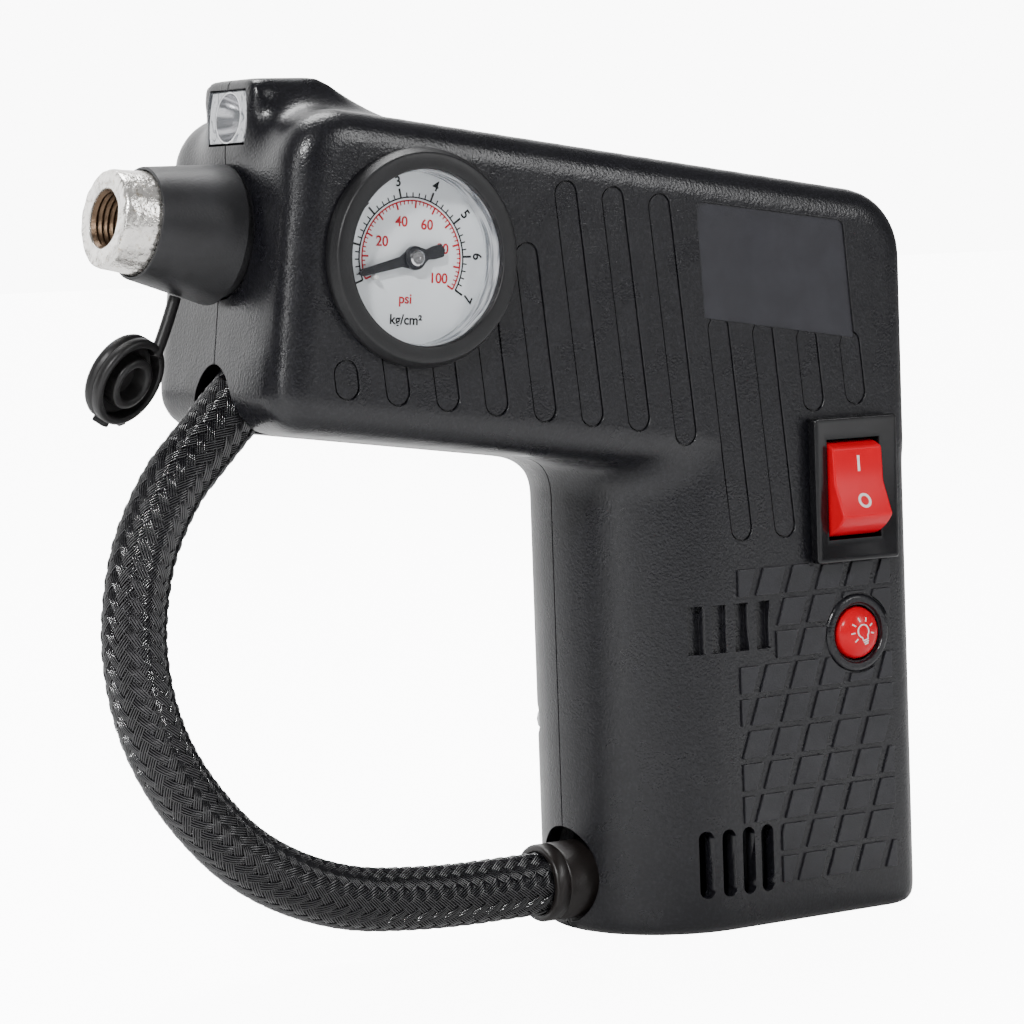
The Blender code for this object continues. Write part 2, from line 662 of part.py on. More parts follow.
# ==== nose ===================================================================================
def nozzle():
    turned("nozzle_collar", [(COLLAR_FRONT, 7.65), (1.1, 9.5), (1.1, 8.4), (-3.4, 8.4), (-3.4, 10.2),
                             (-5.0, 10.2),
                             (-5.0, 5.6), (COLLAR_FRONT, 5.6)], nose(0), NOSE_AXIS, BODY_PLASTIC, ring=True,
                             steps=36)
    connector = turned("valve_connector", [
        (CONNECTOR_TIP, 6.65), (12.4, 6.65), (12.4, 5.3), (-5.3, 5.3), (-5.3, 7.0), (-7.0, 7.0), (-7.0, 2.2),
        (-9.5, 2.2), (-9.5, 1.1), (4.0, 1.1), (4.0, CONNECTOR_BORE), (CONNECTOR_TIP, CONNECTOR_BORE)],
        nose(0), NOSE_AXIS, NICKEL, ring=True, steps=36)
    for k, spin in enumerate((-60, 120)):
        around = Matrix.Rotation(math.radians(spin), 3, NOSE_AXIS)
        out = around @ Vector((0, 0, 1))
        spot = nose(CONNECTOR_TIP) + out * 5.8
        cut(connector, block(f"rim_notch_{k + 1}", spot, (1.6, 3.4, 1.6), None, facing(NOSE_AXIS, out), 0,
                             CUTTERS))
    turned("valve_seal", [(6.8, 3.7), (4.3, 3.7), (4.3, 1.6), (6.8, 1.6)], nose(0), NOSE_AXIS, RUBBER,
           ring=True, steps=24)
    bar("valve_pin", 0.75, nose(-1), nose(9.5), BRASS, 12)


def dust_cap():
    """Rubber cap on its strap, hanging from the collar; the origin is on the strap's bend line."""
    outer = CAP_RADIUS
    profile = [(0.0, outer), (-CAP_DEPTH + 0.5, outer), (-CAP_DEPTH, outer - 0.6), (-CAP_DEPTH, 0),
               (-CAP_DEPTH + 0.9, 0), (-CAP_DEPTH + 0.9, 2.3), (0.3, 2.3), (0.3, 3.6),
               (-CAP_DEPTH + 0.9, 3.6),
               (-CAP_DEPTH + 0.9, 5.2), (0.0, 5.2)]
    start = profile.index((-CAP_DEPTH, 0)) + 1
    ordered = profile[start:] + profile[:start]
    cap = turned("dust_cap", ordered, CAP_CENTRE, CAP_OPENS, RUBBER, steps=28)
    settle_origin(cap, STRAP_ROOT)
    pull = (STRAP_ROOT - STRAP_END).normalized()
    strap = bar("strap", STRAP_RADIUS, STRAP_END - pull * 1.4, STRAP_ROOT, None, 10, CUTTERS)
    return join(cap, strap)


def settle_origin(made, origin):
    """Move an object's origin without moving its shape."""
    made_mesh = meshed(made, made.name)
    made.modifiers.clear()
    made_mesh.transform(made.matrix_world)
    made_mesh.transform(Matrix.Translation(-Vector(origin) * MM))
    made.data = made_mesh
    made.matrix_world = Matrix.Translation(Vector(origin) * MM)


# ==== lamp ===================================================================================
def lamp():
    out = Vector((-math.cos(FRONT_LEAN), 0, math.sin(FRONT_LEAN)))
    face = Vector((front_face_x(LAMP_HEIGHT), 0, LAMP_HEIGHT))
    half_w, half_t = LENS_WIDTH / 2, LENS_TALL / 2
    outline = []
    for side in (1, -1):
        for k in range(7):
            share = side * (1 - k / 3)
            outline.append((side * (half_w - 0.5 * share * share), half_t * share))
    plate("lamp_lens", outline, -1.4, 0.2, CLEAR_PLASTIC, facing(out), face)
    turned("lamp_reflector", [(-1.7, 3.2), (-6.6, 2.1), (-6.6, 1.8), (-2.0, 2.8), (-1.7, 2.8)], face, out,
           NICKEL,
           ring=True)
    turned("lamp_led", [(-3.0, 0), (-3.3, 0.8), (-4.0, 1.3), (-7.2, 1.3), (-7.2, 0)], face, out,
           CLEAR_PLASTIC,
           steps=20)
    block("lamp_board", face - out * 8.0, (8.0, 6.2, 0.8), BOARD_GREEN, facing(out))


# ==== switches ===============================================================================
def power_switch():
    face = on_left(SWITCH_X, SWITCH_Z)
    flange = block("switch_frame", (SWITCH_X, face.y - (FLANGE_PROUD + CLOSE) / 2, SWITCH_Z),
                   (FLANGE_WIDE, FLANGE_PROUD - CLOSE, FLANGE_TALL), GLOSS_PLASTIC, round_off=0.7)
    body = block("switch_body", (SWITCH_X, face.y + 6.5, SWITCH_Z), (12.8, 14.8, 18.8), None,
                 collection=CUTTERS)
    window = block("switch_window", (SWITCH_X, face.y + 3.0, SWITCH_Z), (9.6, 11.6, 14.6), None,
                   collection=CUTTERS)
    pivot = Vector((SWITCH_X, face.y - FLANGE_PROUD + ROCKER_PIVOT_DEEP, SWITCH_Z))
    pin_hole = bar("pin_hole", 1.0, pivot - Vector((5.6, 0, 0)), pivot + Vector((5.6, 0, 0)), None, 12,
                   CUTTERS)
    join(flange, body)
    cut(flange, window, pin_hole)
    bar("rocker_pin", 0.7, pivot - Vector((5.4, 0, 0)), pivot + Vector((5.4, 0, 0)), STEEL, 12)
    rocker(pivot)
    for k, side in enumerate((-1, 1)):
        block(f"switch_terminal_{k + 1}", (SWITCH_X, face.y + 18.0, SWITCH_Z + side * 5.0), (4.8, 7.0, 0.8),
              BRASS)


def rocker(pivot):
    """Rocker seen along X: two arcs about the pivot and a shallow V between them, top end pressed in."""
    outline = []
    for start, end in ((-28, 44), (136, 208)):
        for k in range(7):
            turn = math.radians(start + (end - start) * k / 6)
            outline.append((ROCKER_REACH * math.cos(turn), ROCKER_REACH * math.sin(turn)))
        if start == -28:
            outline.append((0.0, 4.0))
    tilted = [rotate_flat(point, ROCKER_TILT) for point in outline]
    view = Matrix((Vector((0, 0, 1)), Vector((0, -1, 0)), Vector((1, 0, 0)))).transposed()
    made = plate("switch_rocker", tilted, -4.5, 4.5, RED_PLASTIC, view, pivot)
    bevel(made, 0.3, 1, 60)
    return cut(made, bar("rocker_hole", 1.0, pivot - Vector((9, 0, 0)), pivot + Vector((9, 0, 0)), None, 12,
                         CUTTERS))


def lamp_button():
    face = on_left(BUTTON_X, BUTTON_Z)
    turned("light_button", [(BUTTON_PROUD, 0), (BUTTON_PROUD - 0.15, 1.5), (BUTTON_PROUD - 0.5, 2.7),
                            (BUTTON_PROUD - 1.1, 3.5), (BUTTON_PROUD - 1.7, BUTTON_RADIUS),
                            (-2.7, BUTTON_RADIUS),
                            (-2.7, 4.6), (-3.5, 4.6), (-3.5, 1.2), (-5.0, 1.2), (-5.0, 0)], face, LEFT,
                            RED_PLASTIC)
    block("button_switch", (14.9, face.y + 10.4, BUTTON_Z), (5.8, 6.8, 7.0), BODY_PLASTIC, round_off=0.4)
    turns, start, end = 3.5, 3.95, 6.5
    coil = []
    steps = round(turns * 10)
    for k in range(steps + 1):
        turn = math.tau * turns * k / steps
        coil.append((BUTTON_X + 2.1 * math.cos(turn), face.y + start + (end - start) * k / steps,
                     BUTTON_Z + 2.1 * math.sin(turn)))
    tube("button_spring", 0.22, coil, STEEL, 1)


# ==== hose ===================================================================================
def hose():
    tube("hose", HOSE_RADIUS, smooth_route(HOSE_ROUTE, HOSE_STEP), BRAID, 4)
    inner = HOSE_RADIUS + CLOSE
    end_z = HOSE_ROUTE[-1][1]
    depth = BOOT_BACK - BOOT_FRONT
    turned("hose_boot", [(depth - 1.2, 0), (depth - 1.2, inner), (0, inner), (0, BOOT_RADIUS - 0.3),
                         (0.4, BOOT_RADIUS),
                         (depth, BOOT_RADIUS), (depth, 0)][::-1], (BOOT_FRONT, 0, end_z), (1, 0, 0), RUBBER)
    up = Vector((1, 0, 1)).normalized()
    start = Vector((HOSE_ROUTE[0][0], 0, HOSE_ROUTE[0][1]))
    turned("hose_ferrule", [(-0.4, inner + 0.6), (-5.0, inner + 0.6), (-5.0, inner), (-0.4, inner)], start,
           up, BRASS,
           ring=True, steps=24)


# ==== air path ===============================================================================
def air_path():
    block("air_manifold", MANIFOLD, MANIFOLD_SIZE, WHITE_NYLON, round_off=0.8)
    side_port = MANIFOLD + Vector((-MANIFOLD_SIZE[0] / 2 - 0.4, -2.0, 0.9))
    tube("nozzle_tube", 2.0, [nose(-9.9), nose(-11.4), side_port + Vector((-2.6, 0, 0)), side_port], SILICONE)
    head_side = drive(ROD_PLANE + 9.9, 10.2)
    over = [head_side, head_side + FORWARD * 4 + Vector((0, 0.6, 0)), (-56.0, 3.0, 108.6),
            (-57.6, 3.8, 106.4),
            (-57.8, 3.8, 103.1)]
    tube("head_tube", 1.6, over, SILICONE)
    up = Vector((1, 0, 1)).normalized()
    hose_end = Vector((HOSE_ROUTE[0][0], 0, HOSE_ROUTE[0][1])) + up * 0.4
    into = MANIFOLD + Vector((0, 0, -MANIFOLD_SIZE[2] / 2 - 0.4))
    tube("hose_tube", 2.0, [hose_end, hose_end + up * 2.2, (-62.6, 2.0, 89.6), into + Vector((0, 0, -2.4)),
                            into],
         SILICONE)


# ==== motor and pump =========================================================================
def gear_outline(teeth, module, thin):
    """Involute gear outline, its teeth thinned for backlash, with a tooth centred on the x axis."""
    pitch = teeth * module / 2
    base = pitch * math.cos(PRESSURE_ANGLE)
    tip = pitch + module
    root = pitch - 1.25 * module
    inv = math.tan(PRESSURE_ANGLE) - PRESSURE_ANGLE
    half_tooth = math.pi / (2 * teeth) - thin / (2 * pitch)
    outline = []
    for tooth in range(teeth):
        middle = math.tau * tooth / teeth
        flank = []
        start = max(base, root)
        for k in range(3):
            radius = start + (tip - start) * k / 2
            roll = math.acos(min(base / radius, 1.0))
            off = half_tooth + inv - (math.tan(roll) - roll)
            flank.append((radius, off))
        valley = flank[0][1]
        points = [(root, -valley)] + [(r, -a) for r, a in flank if r > root] + \
                 [(r, a) for r, a in flank[::-1] if r > root] + [(root, valley)]
        for radius, off in points:
            outline.append((radius * math.cos(middle + off), radius * math.sin(middle + off)))
    return outline


def motor():
    axis = drive(0, 0)
    turned("motor_can", [(MOTOR_FACE + 1.2, 4.4), (MOTOR_FACE, 4.4), (MOTOR_FACE, MOTOR_RADIUS - 0.8),
                         (MOTOR_FACE - 0.8, MOTOR_RADIUS), (MOTOR_BACK, MOTOR_RADIUS),
                         (MOTOR_BACK, MOTOR_RADIUS - 1.0),
                         (MOTOR_FACE - 1.0, MOTOR_RADIUS - 1.0), (MOTOR_FACE - 1.0, 1.3),
                         (MOTOR_FACE + 1.2, 1.3)],
           axis, FORWARD, STEEL, ring=True, steps=32)
    turned("motor_end_cap", [(MOTOR_BACK - 0.3, MOTOR_RADIUS - 0.6), (MOTOR_BACK - 3.2, MOTOR_RADIUS - 0.9),
                             (MOTOR_BACK - 3.2, 2.4), (MOTOR_BACK - 1.2, 2.4), (MOTOR_BACK - 1.2, 1.3),
                             (MOTOR_BACK - 0.3, 1.3)], axis, FORWARD, WHITE_NYLON, ring=True, steps=28)
    turned("motor_armature", [(MOTOR_FACE + 8.2, 0), (MOTOR_FACE + 8.2, SHAFT_RADIUS), (12.0, SHAFT_RADIUS),
                              (12.0, 8.6),
                              (-8.0, 8.6), (-8.0, 4.0), (-13.0, 4.0), (-13.0, SHAFT_RADIUS),
                              (MOTOR_BACK - 2.6, SHAFT_RADIUS), (MOTOR_BACK - 2.6, 0)], axis, FORWARD, STEEL,
                              steps=24)
    pinion = plate("pinion", gear_outline(PINION_TEETH, GEAR_MODULE, BACKLASH), MOTOR_FACE + 2.4,
                   MOTOR_FACE + 7.6,
                   BRASS, DRIVE_VIEW, axis)
    cut(pinion, bar("pinion_bore", SHAFT_RADIUS + CLOSE, drive(15, 0), drive(30, 0), None, 14, CUTTERS))


def crank():
    centre = drive(0, -CRANK_DROP)
    gear = plate("drive_gear", gear_outline(GEAR_TEETH, GEAR_MODULE, BACKLASH), GEAR_BACK, GEAR_FACE,
                 WHITE_NYLON,
                 DRIVE_VIEW, centre)
    cut(gear, bar("gear_bore", 2.3, drive(15, -CRANK_DROP), drive(30, -CRANK_DROP), None, 18, CUTTERS))
    turned("crank_shaft", [(29.7, 0), (29.7, 2.0), (19.6, 2.0), (19.6, 0)], centre, FORWARD, STEEL, steps=18)
    web = bar("crank_web", 3.3, drive(30.0, -CRANK_DROP), drive(32.2, -CRANK_DROP), STEEL, 20)
    join(web,
         bar("web_end", 2.5, drive(30.0, -CRANK_DROP, CRANK_THROW), drive(32.2, -CRANK_DROP, CRANK_THROW),
             None, 18,
             CUTTERS),
         block("web_arm", drive(31.1, -CRANK_DROP, CRANK_THROW / 2), (CRANK_THROW, 4.4, 2.1), None,
               DRIVE_VIEW, 0,
               CUTTERS),
         bar("crank_throw", 1.5, drive(31, -CRANK_DROP, CRANK_THROW),
             drive(ROD_PLANE - 1.8, -CRANK_DROP, CRANK_THROW),
             None, 16, CUTTERS))
    turned("shaft_bush", [(27.2, 3.0), (25.2, 3.0), (25.2, 2.3), (27.2, 2.3)], centre, FORWARD, BRASS,
           ring=True,
           steps=20)


def gear_frame():
    """Die-cast bracket: a plate behind and before the gear, joined by two side walls."""
    back = block("gear_frame", drive(18.45, -6.0), (28.4, 27.0, 1.6), ALUMINIUM, DRIVE_VIEW, 0)
    front = block("frame_front", drive(26.2, -13.5), (28.4, 12.0, 1.6), None, DRIVE_VIEW, 0, CUTTERS)
    join(back, front)
    for k, side in enumerate((-1, 1)):
        join(back, block(f"frame_side_{k}", drive(22.3, -13.5, side * 13.0), (2.2, 12.0, 9.0), None,
                         DRIVE_VIEW, 0,
                         CUTTERS))
    cut(back,
        bar("frame_motor_hole", 4.8, drive(15, 0), drive(20.5, 0), None, 24, CUTTERS),
        bar("frame_shaft_hole", 3.3, drive(24, -CRANK_DROP), drive(29, -CRANK_DROP), None, 20, CUTTERS))


def piston_pump():
    foot = drive(ROD_PLANE, 0)
    wrist_up = -CRANK_DROP + math.sqrt(ROD_LENGTH ** 2 - CRANK_THROW ** 2)
    turned("cylinder", [(CYLINDER_TOP, CYLINDER_RADIUS), (CYLINDER_BASE, CYLINDER_RADIUS),
                        (CYLINDER_BASE, CYLINDER_BORE),
                        (CYLINDER_TOP, CYLINDER_BORE)], foot, UPWARD, ALUMINIUM, ring=True, steps=32)
    turned("cylinder_head", [(CYLINDER_TOP + 4.8, 0), (CYLINDER_TOP + 4.8, 8.6), (CYLINDER_TOP + 4.2, 9.2),
                             (CYLINDER_TOP + CLOSE, 9.2), (CYLINDER_TOP + CLOSE, 0)], foot, UPWARD, ALUMINIUM,
           steps=32)
    crown = wrist_up + 3.7
    piston = turned("piston", [(crown, 0), (crown, 6.9), (crown - 5.6, 6.9), (crown - 5.6, 5.4),
                               (crown - 1.2, 5.4),
                               (crown - 1.2, 0)], foot, UPWARD, WHITE_NYLON, steps=28)
    along = FORWARD * 7.5
    wrist = drive(ROD_PLANE, wrist_up)
    cut(piston, bar("wrist_hole", 1.5, wrist - along, wrist + along, None, 14, CUTTERS))
    bar("wrist_pin", 1.2, wrist - FORWARD * 6.2, wrist + FORWARD * 6.2, STEEL, 14)
    connecting_rod(wrist)


def connecting_rod(wrist):
    """Rod from the wrist pin to the crank throw, which stands beside the crank's axis at rest."""
    big_end = drive(ROD_PLANE, -CRANK_DROP, CRANK_THROW)
    half = FORWARD * 1.5
    rod = bar("connecting_rod", 2.2, wrist - half, wrist + half, ALUMINIUM, 18)
    join(rod, bar("rod_eye", 3.2, big_end - half, big_end + half, None, 18, CUTTERS))
    middle = (wrist + big_end) / 2
    length = (wrist - big_end).length
    join(rod, block("rod_web", middle, (2.6, length - 2.0, 2.4), None, facing(FORWARD, wrist - big_end), 0,
                    CUTTERS))
    cut(rod, bar("rod_wrist_hole", 1.5, wrist - half * 3, wrist + half * 3, None, 14, CUTTERS),
        bar("rod_throw_hole", 1.8, big_end - half * 3, big_end + half * 3, None, 14, CUTTERS))


# ==== battery and board ======================================================================

def battery():
    for i, (x, y) in enumerate(CELLS):
        turned(f"battery_cell_{i + 1}", [(CELL_TOP, 0), (CELL_TOP, 3.0), (CELL_TOP - 1.0, 3.0),
                                         (CELL_TOP - 1.0, CELL_RADIUS - 0.6), (CELL_TOP - 1.6, CELL_RADIUS),
                                         (CELL_BOTTOM, CELL_RADIUS), (CELL_BOTTOM, 0)], (x, y, 0), (0, 0, 1),
                                         CELL_WRAP)


def electronics():
    block("circuit_board", (1.0, 14.6, 64.0), (20.0, 1.2, 17.0), BOARD_GREEN)
    socket = block("charge_socket", (19.6, SOCKET_Y, SOCKET_Z), (9.0, 8.0, 8.0), GLOSS_PLASTIC, round_off=0.4)
    neck = bar("socket_neck", 3.0, (22, SOCKET_Y, SOCKET_Z), (26.2, SOCKET_Y, SOCKET_Z), None, 20, CUTTERS)
    join(socket, neck)
    cut(socket, bar("socket_bore", 2.2, (18, SOCKET_Y, SOCKET_Z), (30, SOCKET_Y, SOCKET_Z), None, 16,
                    CUTTERS))


housing()
housing_screws()
gauge()
needle()
nozzle()
dust_cap()
lamp()
power_switch()
lamp_button()
hose()
air_path()
motor()
crank()
gear_frame()
piston_pump()
battery()
electronics()
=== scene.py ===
"""Looks of the hand-held air pump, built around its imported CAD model.

Design dimensions are millimetres and are turned into metres where vertices are made.
+Z is up, the nose points to -X, and the gauge is on the -Y side.
"""

import json
import math

import bmesh
import bpy
import numpy as np
from mathutils import Matrix, Vector
from mathutils.bvhtree import BVHTree
from mathutils.interpolate import poly_3d_calc


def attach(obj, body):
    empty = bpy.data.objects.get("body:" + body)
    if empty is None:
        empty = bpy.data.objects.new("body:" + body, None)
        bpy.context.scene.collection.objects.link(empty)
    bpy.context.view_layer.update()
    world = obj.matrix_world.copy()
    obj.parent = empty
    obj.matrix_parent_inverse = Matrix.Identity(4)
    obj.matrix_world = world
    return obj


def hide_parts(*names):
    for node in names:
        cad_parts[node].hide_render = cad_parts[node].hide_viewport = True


MM = 0.001
MERGE = 1e-6  # vertices this close, in metres, become one

# ---- camera ----
EYE = Vector((-325.82, -452.17, 102.79))
VIEW_AHEAD = Vector((0.5425, 0.8366, -0.0765))
CAMERA_RIGHT = Vector((0.8371, -0.546, -0.0348))
FOCAL_LENGTH = 133.17

# ---- body, as in the CAD model ----
HALF_WIDTH = 18.5
WALL = 2.2
SPLIT = 0.12  # each shell stops this far from the middle plane
GRIP_FRONT, GRIP_REAR, GRIP_TOP = -25.9, 26.5, 92.0
FLUSH = 0.04  # the grip's plan lies this far inside the barrel's sides
GRIP_REAR_ROUND = 5.0
BASE_ROUND = 2.2
TOP_AT_ORIGIN, TOP_SLOPE = 108.5, -0.1463
UNDER_AT_ORIGIN, UNDER_SLOPE = 64.9, -0.1374
NOSE_TOP = (-75.6, 119.8)
NOSE_BOTTOM = (-80.9, 76.1)
RIM_ROUND = 4.5
NOSE_ROUND = 5.5
REAR_TOP_ROUND, REAR_UNDER_ROUND = 10.0, 6.0
NOSE_TOP_ROUND = 8.0
FRONT_LEAN = math.radians(6.9)
FRONT_X, FRONT_X_AT = -80.1, 85.5

# ---- nose, dust cap and lamp ----
NOSE_AXIS_BASE = Vector((-78.8, 0.0, 102.3))
NOSE_RISE = math.radians(9.3)
NOSE_AXIS = Vector((-math.cos(NOSE_RISE), 0.0, math.sin(NOSE_RISE)))
CONNECTOR_TIP = 17.1
THREAD_TURNS, THREAD_PITCH = 11, 0.85
DENT_DEEP, DENT_SUNK = 0.07, 0.05
COLLAR_FRONT = 12.1
CAP_CENTRE = Vector((-92.4, 0.0, 82.9))
CAP_OPENS = Vector((0.327, -0.838, -0.436)).normalized()
STRAP_ROOT = Vector((-85.4, 0.0, 94.2))
STRAP_END = Vector((-88.3, 0.0, 87.4))
STRAP_RADIUS, STRAP_SAG = 0.85, 0.12

LAMP_HEIGHT = 118.1
LAMP_OUT = Vector((-math.cos(FRONT_LEAN), 0, math.sin(FRONT_LEAN)))
LENS_WIDTH, LENS_TALL, LENS_GAP = 10.2, 7.5, 0.3
LENS_BULGE, LENS_SIDE = 0.5, 0.94  # how far its sides curve out, and the height share they keep
LENS_HOLE_SPAN = (-7.0, 7.0)
BOWL_RADIUS = 3.55
ROOF, ROOF_REAR = 123.2, -65.5
POD_HALF_WIDTH, POD_LOW, POD_CORNER = 7.5, 112.0, 2.3
POD_FOOT, POD_SHOULDER = -50.0, (-53.0, 116.6)  # its rear end: under the barrel's top, and above it
POD_REAR_ROUND, POD_FRONT_ROUND = 3.0, 0.8
POD_LIMIT = (40.0, 100.0)  # distances ahead between which its rounded front outline applies
POD_PROUD = 0.4  # how far the lamp's pod stands in front of the barrel's front face

# ---- evening out the body's mesh ----
EVEN_MESH = 0.75  # edge length
ON_FORM = 0.01  # a vertex this close to the uncut form lies on it
HOLLOW_LIFT = 0.06  # a vertex this share of an edge below its neighbours' mean lies in a hollow
HOLLOW_REACH = 5.5  # width of the band around a hollow that is relaxed with it
HOLLOW_PASSES = 90  # more of them make the fillets rounder
EVEN_PASSES = 5  # passes that even out the whole form after the hollows
FLAT_SNAP = 0.07  # a vertex this close under a flat side is put on it

# ---- gauge, switch and button ----
GAUGE_X, GAUGE_Z = -57.8, 98.3
DIAL_DEEP = 2.4
DIAL_TURN = math.radians(-4.5)
NEEDLE_REST, NEEDLE_SPAN = math.radians(191.5), (-1.66, -1.34)
GAUGE_HOLE_RADIUS = 13.3
PSI_ZERO, PSI_STEP = 203.4, -46.8 / 20  # angle of the zero, and angle of one psi, in degrees
KG_TO_PSI = 14.22
KG_END, PSI_END = 7, 100
PRINT_THICK, PRINT_HEAVIER = 0.03, 0.035
KG_RADIUS, PSI_RADIUS = 8.2, 7.75
NUMBER_SIZE, UNIT_SIZE = 1.95, 1.9
STOP_RADIUS, STOP_ANGLE = 6.7, math.radians(200.5)

SWITCH_X, SWITCH_Z = 13.8, 62.5
SWITCH_HOLE, SWITCH_ROOM = (13.4, 10, 19.4), (15.6, 10, 21.6)
FLANGE, FLANGE_PROUD, FLANGE_RIM = (15.0, 21.0), 2.1, 0.85
SWITCH_BOX, SWITCH_WINDOW = (12.8, 14.8, 18.8), (9.6, 11.6, 14.6)
ROCKER_PIVOT_DEEP = 3.4
ROCKER_TILT = math.radians(13.0)
ROCKER_RADIUS, ROCKER_WAIST, ROCKER_ARC = 7.0, 4.0, (-28, 44)
ROCKER_HALF_WIDTH = 4.5
MARK_PLACE = 2.75  # distance of each mark from the rocker's middle
BUTTON_X, BUTTON_Z = 14.5, 41.3
BUTTON_HOLE_RADIUS, BUTTON_ROOM_RADIUS = 4.1, 5.9
BUTTON_DOME = ((0.0, 1.8), (0.8, 1.76), (1.5, 1.65), (2.2, 1.45), (2.8, 1.15), (3.3, 0.75), (3.65, 0.3),
               (3.8, -0.2))
ICON_LEAN = math.radians(18)

# ---- ribs, label, slots and screws ----
RIB_LEAN = math.radians(6.05)
RIB_PITCH, RIB_FIRST, RIB_WIDTH, RIB_DEEP = 7.67, -60.86, 3.9, 0.2
GROOVE_DEEP, GROOVE_WIDE = 0.55, 0.27  # thin outline around each rib
LABEL_DEEP = 0.4
RIB_SPANS = (  # lower and upper end of each rib before it leans
    (86.6, 92.2), (84.6, 93.0), (82.6, 92.0), (80.7, 95.0), (78.6, 103.7), (76.7, 111.2),
    (74.8, 109.4), (71.5, 107.4), (56.4, 89.0), (55.5, 87.2), (72.6, 85.3), (72.4, 83.3),
)
LABEL_CORNERS = (  # x, z and radius
    (-11.1, 88.1, 0.3), (15.8, 84.1, 0.3), (14.2, 101.4, 1.5), (-12.0, 104.8, 1.5),
)
UPPER_SLOTS = (-13.4, -9.9, -6.2, -2.4)
SLOT_WIDTH, SLOT_TALL, SLOT_HEIGHT = 2.4, 6.9, 43.9
SLOT_DEEP, FRONT_SLOT_DEEP = 1.2, 2.2
LOWER_VENTS = (-12.9, -9.45, -6.1, -2.8)
VENT_LOW, VENT_HIGH, VENT_WIDTH, VENT_DEEP = 5.4, 15.1, 2.2, 5.0
SCREW_SEATS = (  # x, z and the head's distance from the middle plane
    (-65.5, 113.0, 14.5), (-62.0, 79.5, 15.5), (-22.0, 107.0, 15.5),
    (21.8, 75.5, 15.5), (-17.5, 61.0, 13.5), (-21.6, 30.0, 7.6),
)
SCREW_HEAD_HOLE = 2.8
BOSS_RADIUS, BOSS_BORE, BOSS_DEEP = 3.7, 1.5, 3.0
SOCKET_HOLE_RADIUS, SOCKET_HOLE_PLACE = 3.3, (9.0, 58.0)
NOSE_HOLE_RADIUS = 8.75

# ---- grip pads: rows of leaning cells ----
PAD_TOP = 52.1
PAD_ROW = 4.66
PAD_TALL = 3.86
PAD_COLUMN = 5.4
PAD_GAP = 1.4
PAD_SLANT = 0.368  # sideways shift per unit of height
PAD_MARK = (-3.65, 50.2)  # a point in the middle of one leaning gap
PAD_FRONT, PAD_REAR = -6.8, 20.7
PAD_BESIDE_SLOTS = -0.2  # front edge of the rows beside the slots and the vents
PAD_PROUD, PAD_ROOT = 0.35, 0.4
PAD_NARROWEST = 1.0

# ---- studio ----
FLOOR_GLOW = 10.0  # brightness that the camera alone sees, over the lit floor
BACKDROP = 12.0
TENT_FADE = (0.4, 0.95, 0.12, 2.6)  # depths where the tent's fade starts and ends, and its strengths
LIGHT_TARGET = (-0.035, 0.0, 0.06)
LIGHTS = (  # name, place and size in metres, and power in watts
    ("key", (-0.75, -0.6, 0.7), (0.1, 0.1), 8.5),
    ("top", (0.05, 0.3, 0.9), (0.5, 0.4), 9.0),
    ("front", (-0.9, -0.3, 0.3), (0.1, 0.4), 1.4),
    ("rear", (0.5, -0.8, 0.5), (0.2, 0.4), 3.0),
)
BODY_BLACK = (0.0062, 0.0062, 0.0082)

# ---- hose ----
HOSE_RADIUS = 4.55
HOSE_ROUTE = (
    (-69.0, 87.1), (-74.6, 81.5), (-80.3, 75.8), (-83.5, 72.6), (-86.6, 69.3), (-89.6, 64.6),
    (-91.9, 59.4), (-93.3, 53.2), (-93.7, 47.0), (-92.9, 40.4), (-91.0, 34.2), (-88.0, 28.4),
    (-84.1, 23.1), (-79.4, 18.2), (-73.9, 14.3), (-67.6, 11.3), (-60.5, 9.2), (-52.5, 8.2),
    (-44.5, 7.7), (-36.5, 7.6), (-30.5, 7.6), (-24.4, 7.6),
)
BRAID_CARRIERS = 16  # bundles of strands in each hand
BRAID_LEAD = 36.0  # length of hose over which a strand goes around once
BRAID_STEP = 0.8
BRAID_FILL = 0.92  # share of the way around that the strands of one hand cover
STRANDS = 4  # strands in one bundle
STRAND_RADIUS, STRAND_SIDES = 0.17, 5
BRAID_MIDDLE = HOSE_RADIUS - 2 * STRAND_RADIUS
HOSE_HOLE = (-80.3, 75.8)
HOSE_HOLE_RADIUS = 6.1
NOTCH_Z, NOTCH_RADIUS = 8.4, 7.0
BOOT_FRONT, BOOT_BACK, BOOT_RADIUS = -30.6, -22.4, 5.6


# ==== frame and camera ====
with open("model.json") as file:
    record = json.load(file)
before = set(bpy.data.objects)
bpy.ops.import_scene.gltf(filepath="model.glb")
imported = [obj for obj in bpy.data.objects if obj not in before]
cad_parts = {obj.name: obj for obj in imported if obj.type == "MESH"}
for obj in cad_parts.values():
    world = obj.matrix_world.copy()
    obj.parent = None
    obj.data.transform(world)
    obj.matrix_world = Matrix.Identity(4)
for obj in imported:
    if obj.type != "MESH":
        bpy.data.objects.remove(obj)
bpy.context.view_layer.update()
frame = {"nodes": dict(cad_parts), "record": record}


def make_camera():
    data = bpy.data.cameras.new("camera")
    data.lens = FOCAL_LENGTH
    data.sensor_width = 36.0
    camera = bpy.data.objects.new("camera", data)
    bpy.context.scene.collection.objects.link(camera)
    back = -VIEW_AHEAD.normalized()
    up = back.cross(CAMERA_RIGHT).normalized()
    right = up.cross(back)
    camera.matrix_world = Matrix.Translation(EYE * MM) @ Matrix((right, up, back)).transposed().to_4x4()
    bpy.context.scene.camera = camera


make_camera()


# ==== materials ====
def with_sockets(node, **sockets):
    """The node with some inputs set; an underscore in a socket's name stands for a space."""
    for name, value in sockets.items():
        node.inputs[name.replace("_", " ")].default_value = value
    return node


